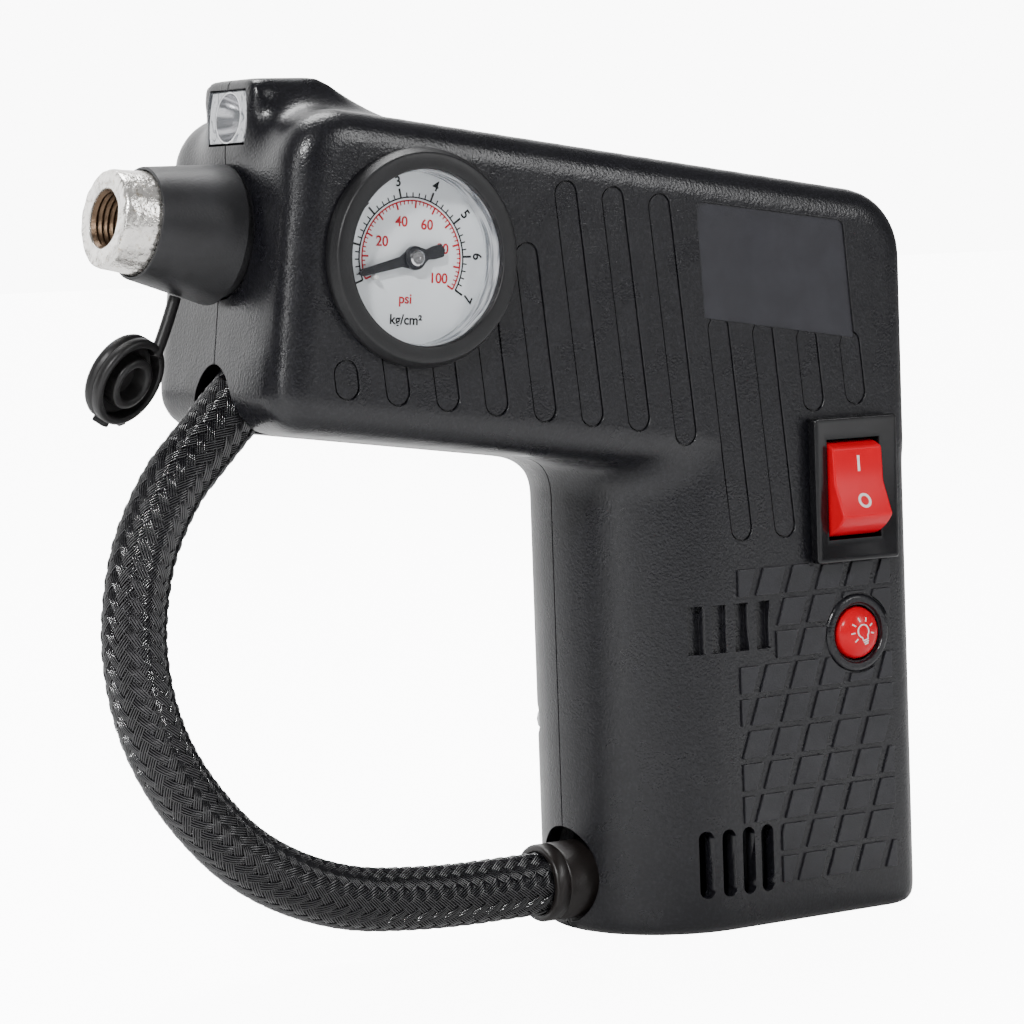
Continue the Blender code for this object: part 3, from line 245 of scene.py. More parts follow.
class Look:
    """Node builder for one procedural material; patterns are placed in the model's own metres."""

    def __init__(self, name, colour, roughness, metallic=0.0):
        self.made = bpy.data.materials.new(name)
        self.made.use_nodes = True
        self.nodes = self.made.node_tree.nodes
        self.links = self.made.node_tree.links
        self.shader = with_sockets(self.nodes["Principled BSDF"], Metallic=metallic)
        self.colour = colour
        self.roughness = roughness
        self.place = self.nodes.new("ShaderNodeTexCoord").outputs["Object"]
        self.normal = None

    def add(self, kind, **sockets):
        return with_sockets(self.nodes.new("ShaderNode" + kind), **sockets)

    def noise(self, size, detail=2.0, distortion=0.0, stretch=None):
        """Noise whose features are about a size in millimetres."""
        made = self.add("TexNoise", Scale=1.0 / (size * MM), Detail=detail, Distortion=distortion)
        where = self.place
        if stretch:
            turn = self.add("Mapping", Scale=stretch)
            self.links.new(where, turn.inputs["Vector"])
            where = turn.outputs["Vector"]
        self.links.new(where, made.inputs["Vector"])
        return made.outputs["Fac"]

    def ramp(self, value, low, high, first, second):
        """The value between low and high turned into a blend of two colours."""
        made = self.add("ValToRGB")
        made.color_ramp.elements[0].position = low
        made.color_ramp.elements[1].position = high
        made.color_ramp.elements[0].color = (*first, 1.0)
        made.color_ramp.elements[1].color = (*second, 1.0)
        self.links.new(value, made.inputs["Fac"])
        return made.outputs["Color"]

    def paint(self, value, other, low=0.4, high=0.65):
        self.links.new(self.ramp(value, low, high, self.colour, other), self.shader.inputs["Base Color"])
        return self

    def rough(self, value, spread):
        made = self.add("MapRange", From_Min=0.25, From_Max=0.75, To_Min=self.roughness - spread,
                        To_Max=self.roughness + spread)
        self.links.new(value, made.inputs["Value"])
        self.links.new(made.outputs["Result"], self.shader.inputs["Roughness"])
        return self

    def bump(self, value, height):
        """Relief of a height in millimetres; each call goes on top of the last one."""
        made = self.add("Bump", Strength=1.0, Distance=height * MM)
        self.links.new(value, made.inputs["Height"])
        if self.normal:
            self.links.new(self.normal, made.inputs["Normal"])
        self.normal = made.outputs["Normal"]
        self.links.new(self.normal, self.shader.inputs["Normal"])
        return self

    def soften(self, radius):
        """Rounded look along sharp moulded edges, under the relief."""
        made = self.add("Bevel", Radius=radius * MM)
        made.samples = 4
        self.normal = made.outputs["Normal"]
        self.links.new(self.normal, self.shader.inputs["Normal"])
        return self

    def set(self, **sockets):
        with_sockets(self.shader, **sockets)
        return self


def moulded(name, colour, roughness, grain, height, lighter=1.5, soften=0.0):
    """Moulded plastic or rubber with an even grain and faint uneven gloss."""
    look = Look(name, colour, roughness)
    if soften:
        look.soften(soften)
    fine = look.noise(grain, 3.0)
    look.paint(look.noise(grain * 14, 3.0), tuple(c * lighter for c in colour))
    look.rough(look.noise(grain * 25, 4.0), 0.06)
    look.bump(fine, height)
    return look


def metal(name, colour, roughness, grain, height):
    look = Look(name, colour, roughness, 1.0)
    look.paint(look.noise(grain * 12, 3.0), tuple(c * 0.82 for c in colour))
    look.rough(look.noise(grain * 6, 3.0), 0.08)
    look.bump(look.noise(grain, 3.0), height)
    return look


def spark_plastic():
    """Body plastic: a fine spark-eroded grain that glitters where light grazes it."""
    look = Look("body_plastic", BODY_BLACK, 0.29)
    look.soften(0.1)
    look.paint(look.noise(0.5, 2.0), (0.013, 0.013, 0.0165), 0.45, 0.75)
    look.rough(look.noise(6.0, 4.0), 0.05)
    look.bump(look.noise(0.36, 1.0), 0.05)
    return look


def rough_nickel():
    """Cast connector with bright plating over a pitted surface, stained brown in the pits."""
    look = Look("cast_nickel", (1.0, 0.97, 0.92), 0.22, 0.82)
    pits = look.noise(0.9, 5.0, 0.4)
    look.paint(pits, (0.42, 0.33, 0.22), 0.6, 0.78)
    look.rough(look.noise(0.6, 4.0), 0.14)
    look.bump(look.noise(1.3, 3.0), 0.16)
    look.bump(pits, 0.12)
    return look


def clear(name, tint, alpha):
    """Clear moulding: mostly see-through, with its gloss kept and faint dust on it."""
    look = Look(name, tint, 0.03)
    look.paint(look.noise(9.0, 3.0), tuple(c * 0.9 for c in tint))
    look.rough(look.noise(3.0, 3.0), 0.02)
    look.bump(look.noise(4.0, 1.0), 0.004)
    look.set(Alpha=alpha, IOR=1.49)
    return look


def lamp_silver():
    """Bright plated surround behind the lamp's window, with painted dark patches that stand in for the
    reflections it mirrors.
    """
    look = Look("lamp_silver", (0.8, 0.81, 0.83), 0.22, 0.35)
    # painted reflection: dark patches in the base colour stand in for the dark surroundings mirrored in the
    # plating
    look.paint(look.noise(1.5, 3.0, 1.4), (0.16, 0.17, 0.19), 0.52, 0.66)
    look.rough(look.noise(1.0, 3.0), 0.08)
    look.bump(look.noise(1.1, 2.0), 0.15)
    return look


def streaked_glass():
    """Thick clear wall of the gauge window, with painted light and dark streaks that stand in for its
    reflections.
    """
    look = Look("rim_glass", (0.16, 0.18, 0.21), 0.06)
    # painted reflection: light streaks in the base colour stand in for the glints that the clear wall
    # reflects
    look.paint(look.noise(1.2, 2.0, 0.3, (0.2, 1.7, 0.2)), (0.85, 0.88, 0.92), 0.4, 0.56)
    look.rough(look.noise(3.0, 3.0), 0.03)
    look.set(Alpha=0.62, IOR=1.49)
    return look


def fine_braid():
    look = Look("braid", (0.004, 0.004, 0.005), 0.13)
    look.paint(look.noise(0.5, 3.0), (0.012, 0.012, 0.0145))
    look.rough(look.noise(0.35, 3.0), 0.06)
    look.bump(look.noise(0.12, 2.0), 0.015)
    return look.set(Specular_IOR_Level=1.0)


MOULDED = {  # colour, roughness, grain, relief, brightness of the uneven patches, softened edges
    "pad_plastic": ((0.0115, 0.0115, 0.0145), 0.36, 0.3, 0.02, 1.4, 0.06),
    "smooth_plastic": ((0.005, 0.005, 0.006), 0.44, 0.3, 0.02),
    "gloss_plastic": ((0.005, 0.005, 0.006), 0.24, 0.5, 0.006),
    "red_plastic": ((0.66, 0.0, 0.012), 0.2, 0.8, 0.01, 1.08),
    "white_print": ((0.82, 0.82, 0.8), 0.5, 0.15, 0.004, 0.95),
    "red_print": ((0.55, 0.004, 0.015), 0.5, 0.15, 0.004, 0.9),
    "black_print": ((0.004, 0.004, 0.006), 0.5, 0.15, 0.004, 1.6),
    "white_dial": ((0.93, 0.97, 1.0), 0.42, 0.3, 0.004, 0.95),
    "needle_grey": ((0.006, 0.0065, 0.01), 0.4, 0.2, 0.006),
    "label_plastic": ((0.0165, 0.0165, 0.022), 0.42, 0.3, 0.006, 1.25),
    "collar_plastic": ((0.0105, 0.0105, 0.012), 0.46, 0.35, 0.03),
    "rubber": ((0.007, 0.0065, 0.0068), 0.45, 0.3, 0.02, 1.5),
    "boot_rubber": ((0.0085, 0.0065, 0.006), 0.4, 0.35, 0.03, 1.6),
    "white_nylon": ((0.74, 0.73, 0.68), 0.45, 0.3, 0.01, 0.93),
    "silicone": ((0.6, 0.62, 0.62), 0.48, 0.3, 0.01, 0.94),
    # painted shade: the cells' wrap is near black so that the view through the vents into the handle reads
    # dark
    "cell_wrap": ((0.006, 0.009, 0.014), 0.34, 0.4, 0.01, 1.25),
    "board_green": ((0.01, 0.1, 0.035), 0.4, 0.3, 0.008, 1.5),
    "led_yellow": ((0.75, 0.68, 0.3), 0.3, 0.2, 0.01, 0.9),
}
METALS = {  # colour, roughness, grain, relief
    "connector_bore": ((0.15, 0.1, 0.065), 0.4, 0.3, 0.05),
    "reflector": ((0.88, 0.88, 0.9), 0.14, 1.6, 0.02),
    "steel": ((0.56, 0.56, 0.58), 0.3, 0.2, 0.008),
    "brass": ((0.76, 0.58, 0.28), 0.28, 0.2, 0.008),
    "aluminium": ((0.66, 0.67, 0.69), 0.42, 0.35, 0.03),
}
LOOKS = {
    "body_plastic": spark_plastic(),
    "clear_plastic": clear("clear_plastic", (0.1, 0.11, 0.12), 0.04),
    "lamp_plastic": clear("lamp_plastic", (0.3, 0.32, 0.35), 0.12),
    "rim_glass": streaked_glass(),
    "lamp_silver": lamp_silver(),
    "nickel": rough_nickel(),
    "braid": fine_braid(),
}
for name, values in MOULDED.items():
    LOOKS[name] = moulded(name, *values)
for name, values in METALS.items():
    LOOKS[name] = metal(name, *values)
LOOKS["red_plastic"].set(Specular_IOR_Level=0.2)


def dress(piece, look, body="body"):
    piece.data.materials.clear()
    piece.data.materials.append(LOOKS[look].made)
    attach(piece, body)


# ==== making pieces ====
def linked(name, mesh):
    made = bpy.data.objects.new(name, mesh)
    bpy.context.scene.collection.objects.link(made)
    return made


def edited(mesh, change):
    """The mesh after one change made on it as a bmesh."""
    shape = bmesh.new()
    shape.from_mesh(mesh)
    change(shape)
    shape.to_mesh(mesh)
    shape.free()
    return mesh


def applied(made):
    """A copy of the piece's mesh with its modifiers applied."""
    bpy.context.view_layer.update()
    return bpy.data.meshes.new_from_object(made.evaluated_get(bpy.context.evaluated_depsgraph_get()))


def drop(*pieces):
    for piece in pieces:
        bpy.data.objects.remove(piece, do_unlink=True)


def from_points(name, points, faces):
    """Piece whose vertices are given in millimetres."""
    mesh = bpy.data.meshes.new(name)
    mesh.from_pydata([Vector(point) * MM for point in points], [], faces)
    mesh.validate()
    return linked(name, mesh)


def smooth(made, degrees=35.0, led=True):
    """Shade a piece round across shallow edges, with its normals led by its larger faces."""
    made.data.shade_smooth()
    made.data.set_sharp_from_angle(angle=math.radians(degrees))
    if not led:
        return made
    lead = made.modifiers.new("even_normals", "WEIGHTED_NORMAL")
    lead.weight = 90
    lead.keep_sharp = True
    mesh = applied(made)
    mesh.name = made.name
    made.modifiers.clear()
    made.data = mesh
    return made


def facing(direction, up=Vector((0.0, 0.0, 1.0))):
    """Rotation that turns local +Z to the direction, with local +Y as near to up as it can be."""
    ahead = Vector(direction).normalized()
    across = Vector(up).cross(ahead)
    if across.length < 1e-6:
        across = Vector((1.0, 0.0, 0.0))
    across.normalize()
    return Matrix((across, ahead.cross(across), ahead)).transposed()


LEFT = Vector((0, -1, 0))
SIDE_VIEW = facing(LEFT)  # local x, y and z are world X, Z and -Y
PLAN_VIEW = Matrix.Identity(3)
NO_SHIFT = Vector((0, 0, 0))


def settled(made):
    """The piece with its modifiers applied and its vertices in the model's frame."""
    mesh = applied(made)
    mesh.transform(made.matrix_world)
    if made.matrix_world.determinant() < 0:
        mesh.flip_normals()
    name = made.name
    drop(made)
    edited(mesh, lambda shape: bmesh.ops.remove_doubles(shape, verts=shape.verts, dist=MERGE))
    mesh.name = name
    return linked(name, mesh)


def bevel(made, width, segments=3, degrees=40.0):
    edge = made.modifiers.new("round_edges", "BEVEL")
    edge.width = width * MM
    edge.segments = segments
    edge.limit_method = "ANGLE"
    edge.angle_limit = math.radians(degrees)
    edge.harden_normals = False
    return settled(made)


def turned(name, profile, origin, direction, ring=False, steps=96, degrees=30.0):
    """Turned solid from (distance along the direction, radius) points, front to back on the outside."""
    rotation = facing(direction)
    points = []
    rows = []
    for along, radius in profile:
        if radius < 1e-6:
            rows.append([len(points)] * steps)
            points.append(Vector(origin) + rotation @ Vector((0, 0, along)))
            continue
        rows.append(list(range(len(points), len(points) + steps)))
        for k in range(steps):
            turn = math.tau * k / steps
            spot = Vector((radius * math.cos(turn), radius * math.sin(turn), along))
            points.append(Vector(origin) + rotation @ spot)
    faces = []
    pairs = list(zip(rows, rows[1:]))
    if ring:
        pairs.append((rows[-1], rows[0]))
    for first, second in pairs:
        for k in range(steps):
            corner = [first[k], second[k], second[(k + 1) % steps], first[(k + 1) % steps]]
            unique = list(dict.fromkeys(corner))
            if len(unique) > 2:
                faces.append(unique)
    return smooth(from_points(name, points, faces), degrees)


def rounded(corners, steps=10):
    """Outline through (x, y, radius) corners, each corner replaced by an arc."""
    outline = []
    count = len(corners)
    for i, (x, y, radius) in enumerate(corners):
        here = Vector((x, y))
        to_last = (Vector(corners[i - 1][:2]) - here).normalized()
        to_next = (Vector(corners[(i + 1) % count][:2]) - here).normalized()
        if radius <= 0.0:
            outline.append(here)
            continue
        half = to_last.angle(to_next) / 2
        centre = here + (to_last + to_next).normalized() * (radius / math.sin(half))
        first = here + to_last * (radius / math.tan(half)) - centre
        last = here + to_next * (radius / math.tan(half)) - centre
        sweep = first.angle_signed(last)
        for k in range(steps + 1):
            outline.append(centre + Matrix.Rotation(-sweep * k / steps, 2) @ first)
    return outline


def arc(centre, radius, start, end, steps):
    """Points of an arc in a plane, between two angles in degrees."""
    found = []
    for k in range(steps + 1):
        turn = math.radians(start + (end - start) * k / steps)
        found.append((centre[0] + radius * math.cos(turn), centre[1] + radius * math.sin(turn)))
    return found


def inset(corners, by):
    """The same corners with every side moved in by a distance; the corners run anticlockwise."""
    count = len(corners)
    sides = []
    for i in range(count):
        start = Vector(corners[i][:2])
        along = (Vector(corners[(i + 1) % count][:2]) - start).normalized()
        sides.append((start + Vector((-along.y, along.x)) * by, along))
    moved = []
    for i in range(count):
        (p, a), (q, b) = sides[i - 1], sides[i]
        t = ((q.x - p.x) * b.y - (q.y - p.y) * b.x) / (a.x * b.y - a.y * b.x)
        meet = p + a * t
        moved.append((meet.x, meet.y, max(corners[i][2] - by, 0.4)))
    return moved


def loft(name, sections, rotation=PLAN_VIEW, origin=NO_SHIFT):
    """Closed solid through sections, each a list of the same number of (x, y, z) points."""
    points = [Vector(origin) + rotation @ Vector(point) for section in sections for point in section]
    around = len(sections[0])
    faces = [list(range(around))[::-1]]
    for row in range(len(sections) - 1):
        base = row * around
        for k in range(around):
            after = (k + 1) % around
            faces.append([base + k, base + after, base + around + after, base + around + k])
    last = (len(sections) - 1) * around
    faces.append([last + k for k in range(around)])
    made = from_points(name, points, faces)
    edited(made.data, lambda shape: bmesh.ops.recalc_face_normals(shape, faces=shape.faces))
    return made


def plate(name, outline, low, high, rotation=SIDE_VIEW, origin=NO_SHIFT):
    """Flat outline made solid between two distances along the rotation's local Z."""
    return loft(name, [[(x, y, z) for x, y in outline] for z in (low, high)], rotation, origin)


def block(name, centre, size, rotation=PLAN_VIEW):
    x, y, z = Vector(size) / 2
    return plate(name, [(-x, -y), (x, -y), (x, y), (-x, y)], -z, z, rotation, centre)


def bar(name, radius, start, end, steps=48):
    along = Vector(end) - Vector(start)
    return turned(name, [(along.length, 0), (along.length, radius), (0, radius), (0, 0)], start, along,
                  steps=steps)


def combine(target, others, operation):
    for other in others:
        step = target.modifiers.new("combine", "BOOLEAN")
        step.operation = operation
        step.solver = "MANIFOLD"
        step.object = other
    made = settled(target)
    drop(*others)
    return made


def cut(target, *others):
    return combine(target, others, "DIFFERENCE")


def join(target, *others):
    return combine(target, others, "UNION")


def merged(name, pieces):
    """Several pieces as one mesh, each keeping its own faces."""
    shape = bmesh.new()
    for piece in pieces:
        mesh = piece.data
        mesh.transform(piece.matrix_world)
        shape.from_mesh(mesh)
        drop(piece)
    mesh = bpy.data.meshes.new(name)
    shape.to_mesh(mesh)
    shape.free()
    return linked(name, mesh)


def stroke(name, points, radius, resolution):
    """Thin round line along points in millimetres, as a mesh."""
    path = bpy.data.curves.new(name, "CURVE")
    path.dimensions = "3D"
    path.bevel_depth = radius * MM
    path.bevel_resolution = resolution
    path.use_fill_caps = True
    spline = path.splines.new("POLY")
    spline.points.add(len(points) - 1)
    for point, where in zip(spline.points, points):
        point.co = (*(Vector(where) * MM), 1.0)
    return settled(linked(name, path))


def lettering(name, words, size):
    """Text as a thin mesh about its own middle, in metres."""
    letters = bpy.data.curves.new(name, "FONT")
    letters.body = words
    letters.size = size * MM
    letters.align_x = "CENTER"
    letters.align_y = "CENTER"
    letters.extrude = PRINT_THICK * MM / 2
    letters.offset = PRINT_HEAVIER * MM
    return settled(linked(name, letters))


def nose(along):
    return NOSE_AXIS_BASE + NOSE_AXIS * along


def on_left(x, z):
    return Vector((x, -HALF_WIDTH, z))


def rotate_flat(point, angle):
    """Turn a flat point clockwise."""
    x, z = point
    return (x * math.cos(angle) + z * math.sin(angle), -x * math.sin(angle) + z * math.cos(angle))


# ==== housing ====
def front_face_x(z):
    return FRONT_X + math.tan(FRONT_LEAN) * (z - FRONT_X_AT)


def barrel_corners():
    rear_top = TOP_AT_ORIGIN + TOP_SLOPE * GRIP_REAR
    rear_under = UNDER_AT_ORIGIN + UNDER_SLOPE * GRIP_REAR
    return [(*NOSE_BOTTOM, NOSE_ROUND), (GRIP_REAR, rear_under, REAR_UNDER_ROUND),
            (GRIP_REAR, rear_top, REAR_TOP_ROUND), (*NOSE_TOP, NOSE_TOP_ROUND)]


def grip_outline(by):
    """Plan of the grip: a half round in front and two rounded corners behind, moved in by a distance."""
    radius = HALF_WIDTH - by
    middle = GRIP_FRONT + HALF_WIDTH
    rear = [(middle, -radius, 0), (GRIP_REAR - by, -radius, GRIP_REAR_ROUND - by),
            (GRIP_REAR - by, radius, GRIP_REAR_ROUND - by), (middle, radius, 0)]
    return arc((middle, 0), radius, 90, 270, 60) + rounded(rear)[1:-1]


def vertex_values(mesh, attribute):
    """One row of three numbers for each vertex."""
    values = np.empty(len(mesh.vertices) * 3)
    mesh.vertices.foreach_get(attribute, values)
    return values.reshape(-1, 3)


def relaxed(made):
    """Even mesh of a form, with every hollow corner relaxed into a soft fillet."""
    grid = made.modifiers.new("even_mesh", "REMESH")
    grid.mode = "VOXEL"
    grid.voxel_size = EVEN_MESH * MM
    made = settled(made)
    mesh = made.data
    count = len(mesh.vertices)
    spots = vertex_values(mesh, "co")
    normals = vertex_values(mesh, "normal")
    ends = np.empty(len(mesh.edges) * 2, dtype=np.int32)
    mesh.edges.foreach_get("vertices", ends)
    first, last = ends.reshape(-1, 2).T
    near = np.bincount(first, minlength=count) + np.bincount(last, minlength=count)

    def around(values):
        """Mean of each vertex's neighbours."""
        total = np.empty_like(values)
        for axis in range(3):
            total[:, axis] = (np.bincount(first, values[last, axis], count)
                              + np.bincount(last, values[first, axis], count))
        return total / near[:, None]

    lift = ((around(spots) - spots) * normals).sum(axis=1)
    share = np.where(lift > HOLLOW_LIFT * EVEN_MESH * MM, 1.0, 0.0)
    fall = EVEN_MESH / HOLLOW_REACH
    for _ in range(int(HOLLOW_REACH / EVEN_MESH)):
        wider = share.copy()
        np.maximum.at(wider, first, share[last] - fall)
        np.maximum.at(wider, last, share[first] - fall)
        share = wider
    share = (share * share * (3 - 2 * share))[:, None]
    for _ in range(HOLLOW_PASSES):
        spots += 0.5 * share * (around(spots) - spots)
    for _ in range(EVEN_PASSES):
        spots += 0.5 * (around(spots) - spots)
    flat = np.abs(spots[:, 1]) > (HALF_WIDTH - FLAT_SNAP) * MM
    spots[:, 1] = np.where(flat, np.sign(spots[:, 1]) * HALF_WIDTH * MM, spots[:, 1])
    mesh.vertices.foreach_set("co", spots.reshape(-1))
    mesh.update()
    return made


def lamp_pod(by, name):
    """The lamp's raised housing as a solid, its side view moved in by a distance."""
    roof = ROOF - by
    half_width = POD_HALF_WIDTH - by
    front = front_face_x(roof) + by - (POD_PROUD if by == 0 else 0.0)
    shoulder_x, shoulder_z = POD_SHOULDER
    corners = [(front - 1.0, POD_LOW, 0), (POD_FOOT, POD_LOW, 0),
               (shoulder_x - 2 * by, shoulder_z - by, POD_REAR_ROUND),
               (ROOF_REAR, roof, POD_REAR_ROUND), (front, roof, POD_FRONT_ROUND)]
    return plate(name, rounded(corners, 6), -half_width, half_width)


def body_form(by, name):
    """The whole body as one solid, moved in by a distance."""
    width = HALF_WIDTH - by
    whole = by == 0
    barrel = plate(name, rounded(inset(barrel_corners(), by), 14), -width, width)
    barrel = bevel(barrel, RIM_ROUND - 0.8 * by, 9 if whole else 2)
    grip = plate(name + "_grip", grip_outline(by + FLUSH), by, GRIP_TOP - by, PLAN_VIEW)
    grip = bevel(grip, BASE_ROUND if whole else 0.6, 5 if whole else 2)
    pod = lamp_pod(by, name + "_pod")
    if not whole:
        return join(barrel, grip, pod)
    front = [(POD_HALF_WIDTH, ROOF, POD_CORNER), (-POD_HALF_WIDTH, ROOF, POD_CORNER),
             (-POD_HALF_WIDTH, POD_LOW, POD_CORNER), (POD_HALF_WIDTH, POD_LOW, POD_CORNER)]
    limit = plate("pod_limit", rounded(front, 8), *POD_LIMIT, facing((-1, 0, 0)))
    return relaxed(join(barrel, grip, combine(pod, [limit], "INTERSECT")))


def slab(name, outline, side, low, high):
    """Solid under an outline on one side, between two distances from the middle plane."""
    span = (low, high) if side < 0 else (-high, -low)
    return plate(name, outline, *span)


def stadium(name, x, low, high, width, depth, side, lean=0.0, top=HALF_WIDTH + 1.0):
    """Slot with round ends, from a depth below one side's face up to a height over the middle plane."""
    half = width / 2
    outline = arc((x, high - half), half, 0, 180, 12) + arc((x, low + half), half, 180, 360, 12)
    return slab(name, [rotate_flat(point, -lean) for point in outline], side, HALF_WIDTH - depth, top)


def side_cuts(side):
    """Outlines around the ribs, blind slots and vents of one side."""
    cutters = []
    for i, (low, high) in enumerate(RIB_SPANS):
        along = RIB_FIRST + RIB_PITCH * i
        cutters.append(stadium(f"rib_{i}", along, low, high, RIB_WIDTH, GROOVE_DEEP, side, RIB_LEAN))
    for i, x in enumerate(UPPER_SLOTS):
        floor = HALF_WIDTH - (FRONT_SLOT_DEEP if i == 0 else SLOT_DEEP)
        middle = side * (HALF_WIDTH + 2 + floor) / 2
        size = (SLOT_WIDTH, HALF_WIDTH + 2 - floor, SLOT_TALL)
        cutters.append(block(f"slot_{i}", (x, middle, SLOT_HEIGHT), size))
    for i, x in enumerate(LOWER_VENTS):
        cutters.append(stadium(f"vent_{i}", x, VENT_LOW, VENT_HIGH, VENT_WIDTH, VENT_DEEP, side))
    return cutters


def rib_floors(side):
    """Recessed face of each rib, inside its thin outline."""
    floors = []
    width, top = RIB_WIDTH - 2 * GROOVE_WIDE, HALF_WIDTH - RIB_DEEP
    for i, (low, high) in enumerate(RIB_SPANS):
        along, low, high = RIB_FIRST + RIB_PITCH * i, low + GROOVE_WIDE, high - GROOVE_WIDE
        floors.append(stadium(f"rib_floor_{i}", along, low, high, width, 1.0, side, RIB_LEAN, top))
    return floors


def lamp_face():
    """Middle of the lens opening, on the front of the lamp's pod."""
    return Vector((front_face_x(LAMP_HEIGHT) - POD_PROUD, 0, LAMP_HEIGHT))


def front_cuts():
    """Openings that both shells share: the nose, the lamp, the hose hole and the grip's notch."""
    down = Vector((-1, 0, -1)).normalized()
    hole = Vector((HOSE_HOLE[0], 0, HOSE_HOLE[1]))
    return [
        bar("nose_hole", NOSE_HOLE_RADIUS, nose(-6), nose(6), 64),
        bar("hose_hole", HOSE_HOLE_RADIUS, hole - down * 13, hole + down * 12, 64),
        bar("notch", NOTCH_RADIUS, (-40, 0, NOTCH_Z), (-20, 0, NOTCH_Z), 64),
        plate("lens_hole", lens_outline(LENS_GAP), *LENS_HOLE_SPAN, facing(LAMP_OUT), lamp_face()),
    ]


def shell(name, side, outer, hollow):
    """One half of the body: the outer form less the hollow, the other half and every opening."""
    made = linked(name, outer.data.copy())
    room = linked(name + "_hollow", hollow.data.copy())
    cutters = [room, block(name + "_half", (-20, -side * (40 - SPLIT), 60), (160, 80, 160))]
    made = cut(made, *cutters, *front_cuts(), *side_cuts(side))
    label = slab("label", rounded(LABEL_CORNERS, 6), side, HALF_WIDTH - LABEL_DEEP, HALF_WIDTH + 1.0)
    made = cut(join(made, *rib_floors(side)), label)
    if side > 0:
        holes, bosses = [], []
        for i, (x, z, seat) in enumerate(SCREW_SEATS):
            holes.append(bar(f"screw_{i}", SCREW_HEAD_HOLE, (x, seat, z), (x, 25, z), 32))
            ring = [(0, BOSS_RADIUS), (-BOSS_DEEP, BOSS_RADIUS), (-BOSS_DEEP, BOSS_BORE), (0, BOSS_BORE)]
            boss = turned(f"boss_{i}", ring, (x, seat + 0.5, z), (0, 1, 0), True, 32)
            bosses.append(combine(boss, [linked("boss_limit", outer.data.copy())], "INTERSECT"))
        socket = bar("socket_hole", SOCKET_HOLE_RADIUS, (20, *SOCKET_HOLE_PLACE), (30, *SOCKET_HOLE_PLACE))
        return cut(join(made, *bosses), *holes, socket)
    ring = [(0.5, 5.1), (0.42, 5.4), (0.1, 5.7), (-1.0, 5.7), (-1.0, 4.3), (0.3, 4.3), (0.5, 4.5)]
    made = join(made, turned("button_ring", ring, on_left(BUTTON_X, BUTTON_Z), LEFT, True))
    gauge_hole = bar("gauge_hole", GAUGE_HOLE_RADIUS, (GAUGE_X, -25, GAUGE_Z), (GAUGE_X, -8, GAUGE_Z), 96)
    outside, inside = (BUTTON_X, -25, BUTTON_Z), (BUTTON_X, -15, BUTTON_Z)
    button_hole = bar("button_hole", BUTTON_HOLE_RADIUS, outside, inside, 64)
    return cut(made, gauge_hole, button_hole, block("switch_hole", (SWITCH_X, -18, SWITCH_Z), SWITCH_HOLE))


def shaded_like(made, form):
    """Give the faces that still lie on the uncut form that form's own smooth shading."""
    form.data.shade_smooth()
    form.data.calc_loop_triangles()
    spots = [vertex.co.copy() for vertex in form.data.vertices]
    leads = [vertex.normal.copy() for vertex in form.data.vertices]
    corners = [tuple(triangle.vertices) for triangle in form.data.loop_triangles]
    tree = BVHTree.FromPolygons(spots, corners)
    mesh = made.data
    led = []
    for vertex in mesh.vertices:
        spot, _normal, index, gap = tree.find_nearest(vertex.co)
        if gap > ON_FORM * MM:
            led.append(None)
            continue
        a, b, c = corners[index]
        shares = poly_3d_calc([spots[a], spots[b], spots[c]], spot)
        led.append((leads[a] * shares[0] + leads[b] * shares[1] + leads[c] * shares[2]).normalized())
    normals = [Vector(corner.vector) for corner in mesh.corner_normals]
    for face in mesh.polygons:
        around = [led[k] for k in face.vertices]
        if None in around or any(face.normal.dot(lead) < 0.8 for lead in around):
            if abs(face.normal.y) > 0.999:
                for corner in face.loop_indices:
                    normals[corner] = face.normal.copy()
            continue
        for corner, lead in zip(face.loop_indices, around):
            normals[corner] = lead
    mesh.normals_split_custom_set(normals)
    return made


def clipped(outline, low, high):
    """Outline cut off at two upright lines."""
    for edge, sign in ((low, 1), (high, -1)):
        kept = []
        for i, point in enumerate(outline):
            last = outline[i - 1]
            inside = (point[0] - edge) * sign >= 0
            if inside != ((last[0] - edge) * sign >= 0):
                share = (edge - last[0]) / (point[0] - last[0])
                kept.append((edge, last[1] + (point[1] - last[1]) * share))
            if inside:
                kept.append(point)
        outline = kept
        if len(outline) < 3:
            return []
    return outline


def pad_cells():
    """Outlines of the raised grip pads, the same on both sides."""
    cells = []
    for row in range(10):
        top = PAD_TOP - PAD_ROW * row
        low = top - PAD_TALL
        beside = row in (1, 2, 8, 9)
        front = PAD_BESIDE_SLOTS if beside else PAD_FRONT
        for column in range(-2, 10):
            edges = []
            for z in (low, top):
                start = PAD_MARK[0] + PAD_COLUMN * column + (z - PAD_MARK[1]) * PAD_SLANT + PAD_GAP / 2
                edges.append((start, start + PAD_COLUMN - PAD_GAP))
            cell = [(edges[0][0], low), (edges[0][1], low), (edges[1][1], top), (edges[1][0], top)]
            cell = clipped(cell, front, PAD_REAR)
            if len(cell) < 3:
                continue
            wide = max(x for x, z in cell) - min(x for x, z in cell)
            if wide < PAD_NARROWEST:
                continue
            cells.append(cell)
    return cells


def grip_pads(side, name):
    """Raised pads of one side, with room for the button's ring and the switch on the left."""
    pads = []
    for i, cell in enumerate(pad_cells()):
        pad = slab(f"{name}_{i}", cell, side, HALF_WIDTH - PAD_ROOT, HALF_WIDTH + PAD_PROUD)
        pads.append(bevel(pad, 0.09, 2))
    made = merged(name, pads)
    if side < 0:
        above, below = (BUTTON_X, -25, BUTTON_Z), (BUTTON_X, -15, BUTTON_Z)
        made = cut(made, bar("ring_room", BUTTON_ROOM_RADIUS, above, below, 96),
                   block("switch_room", (SWITCH_X, -20, SWITCH_Z), SWITCH_ROOM))
    return smooth(made, 20)


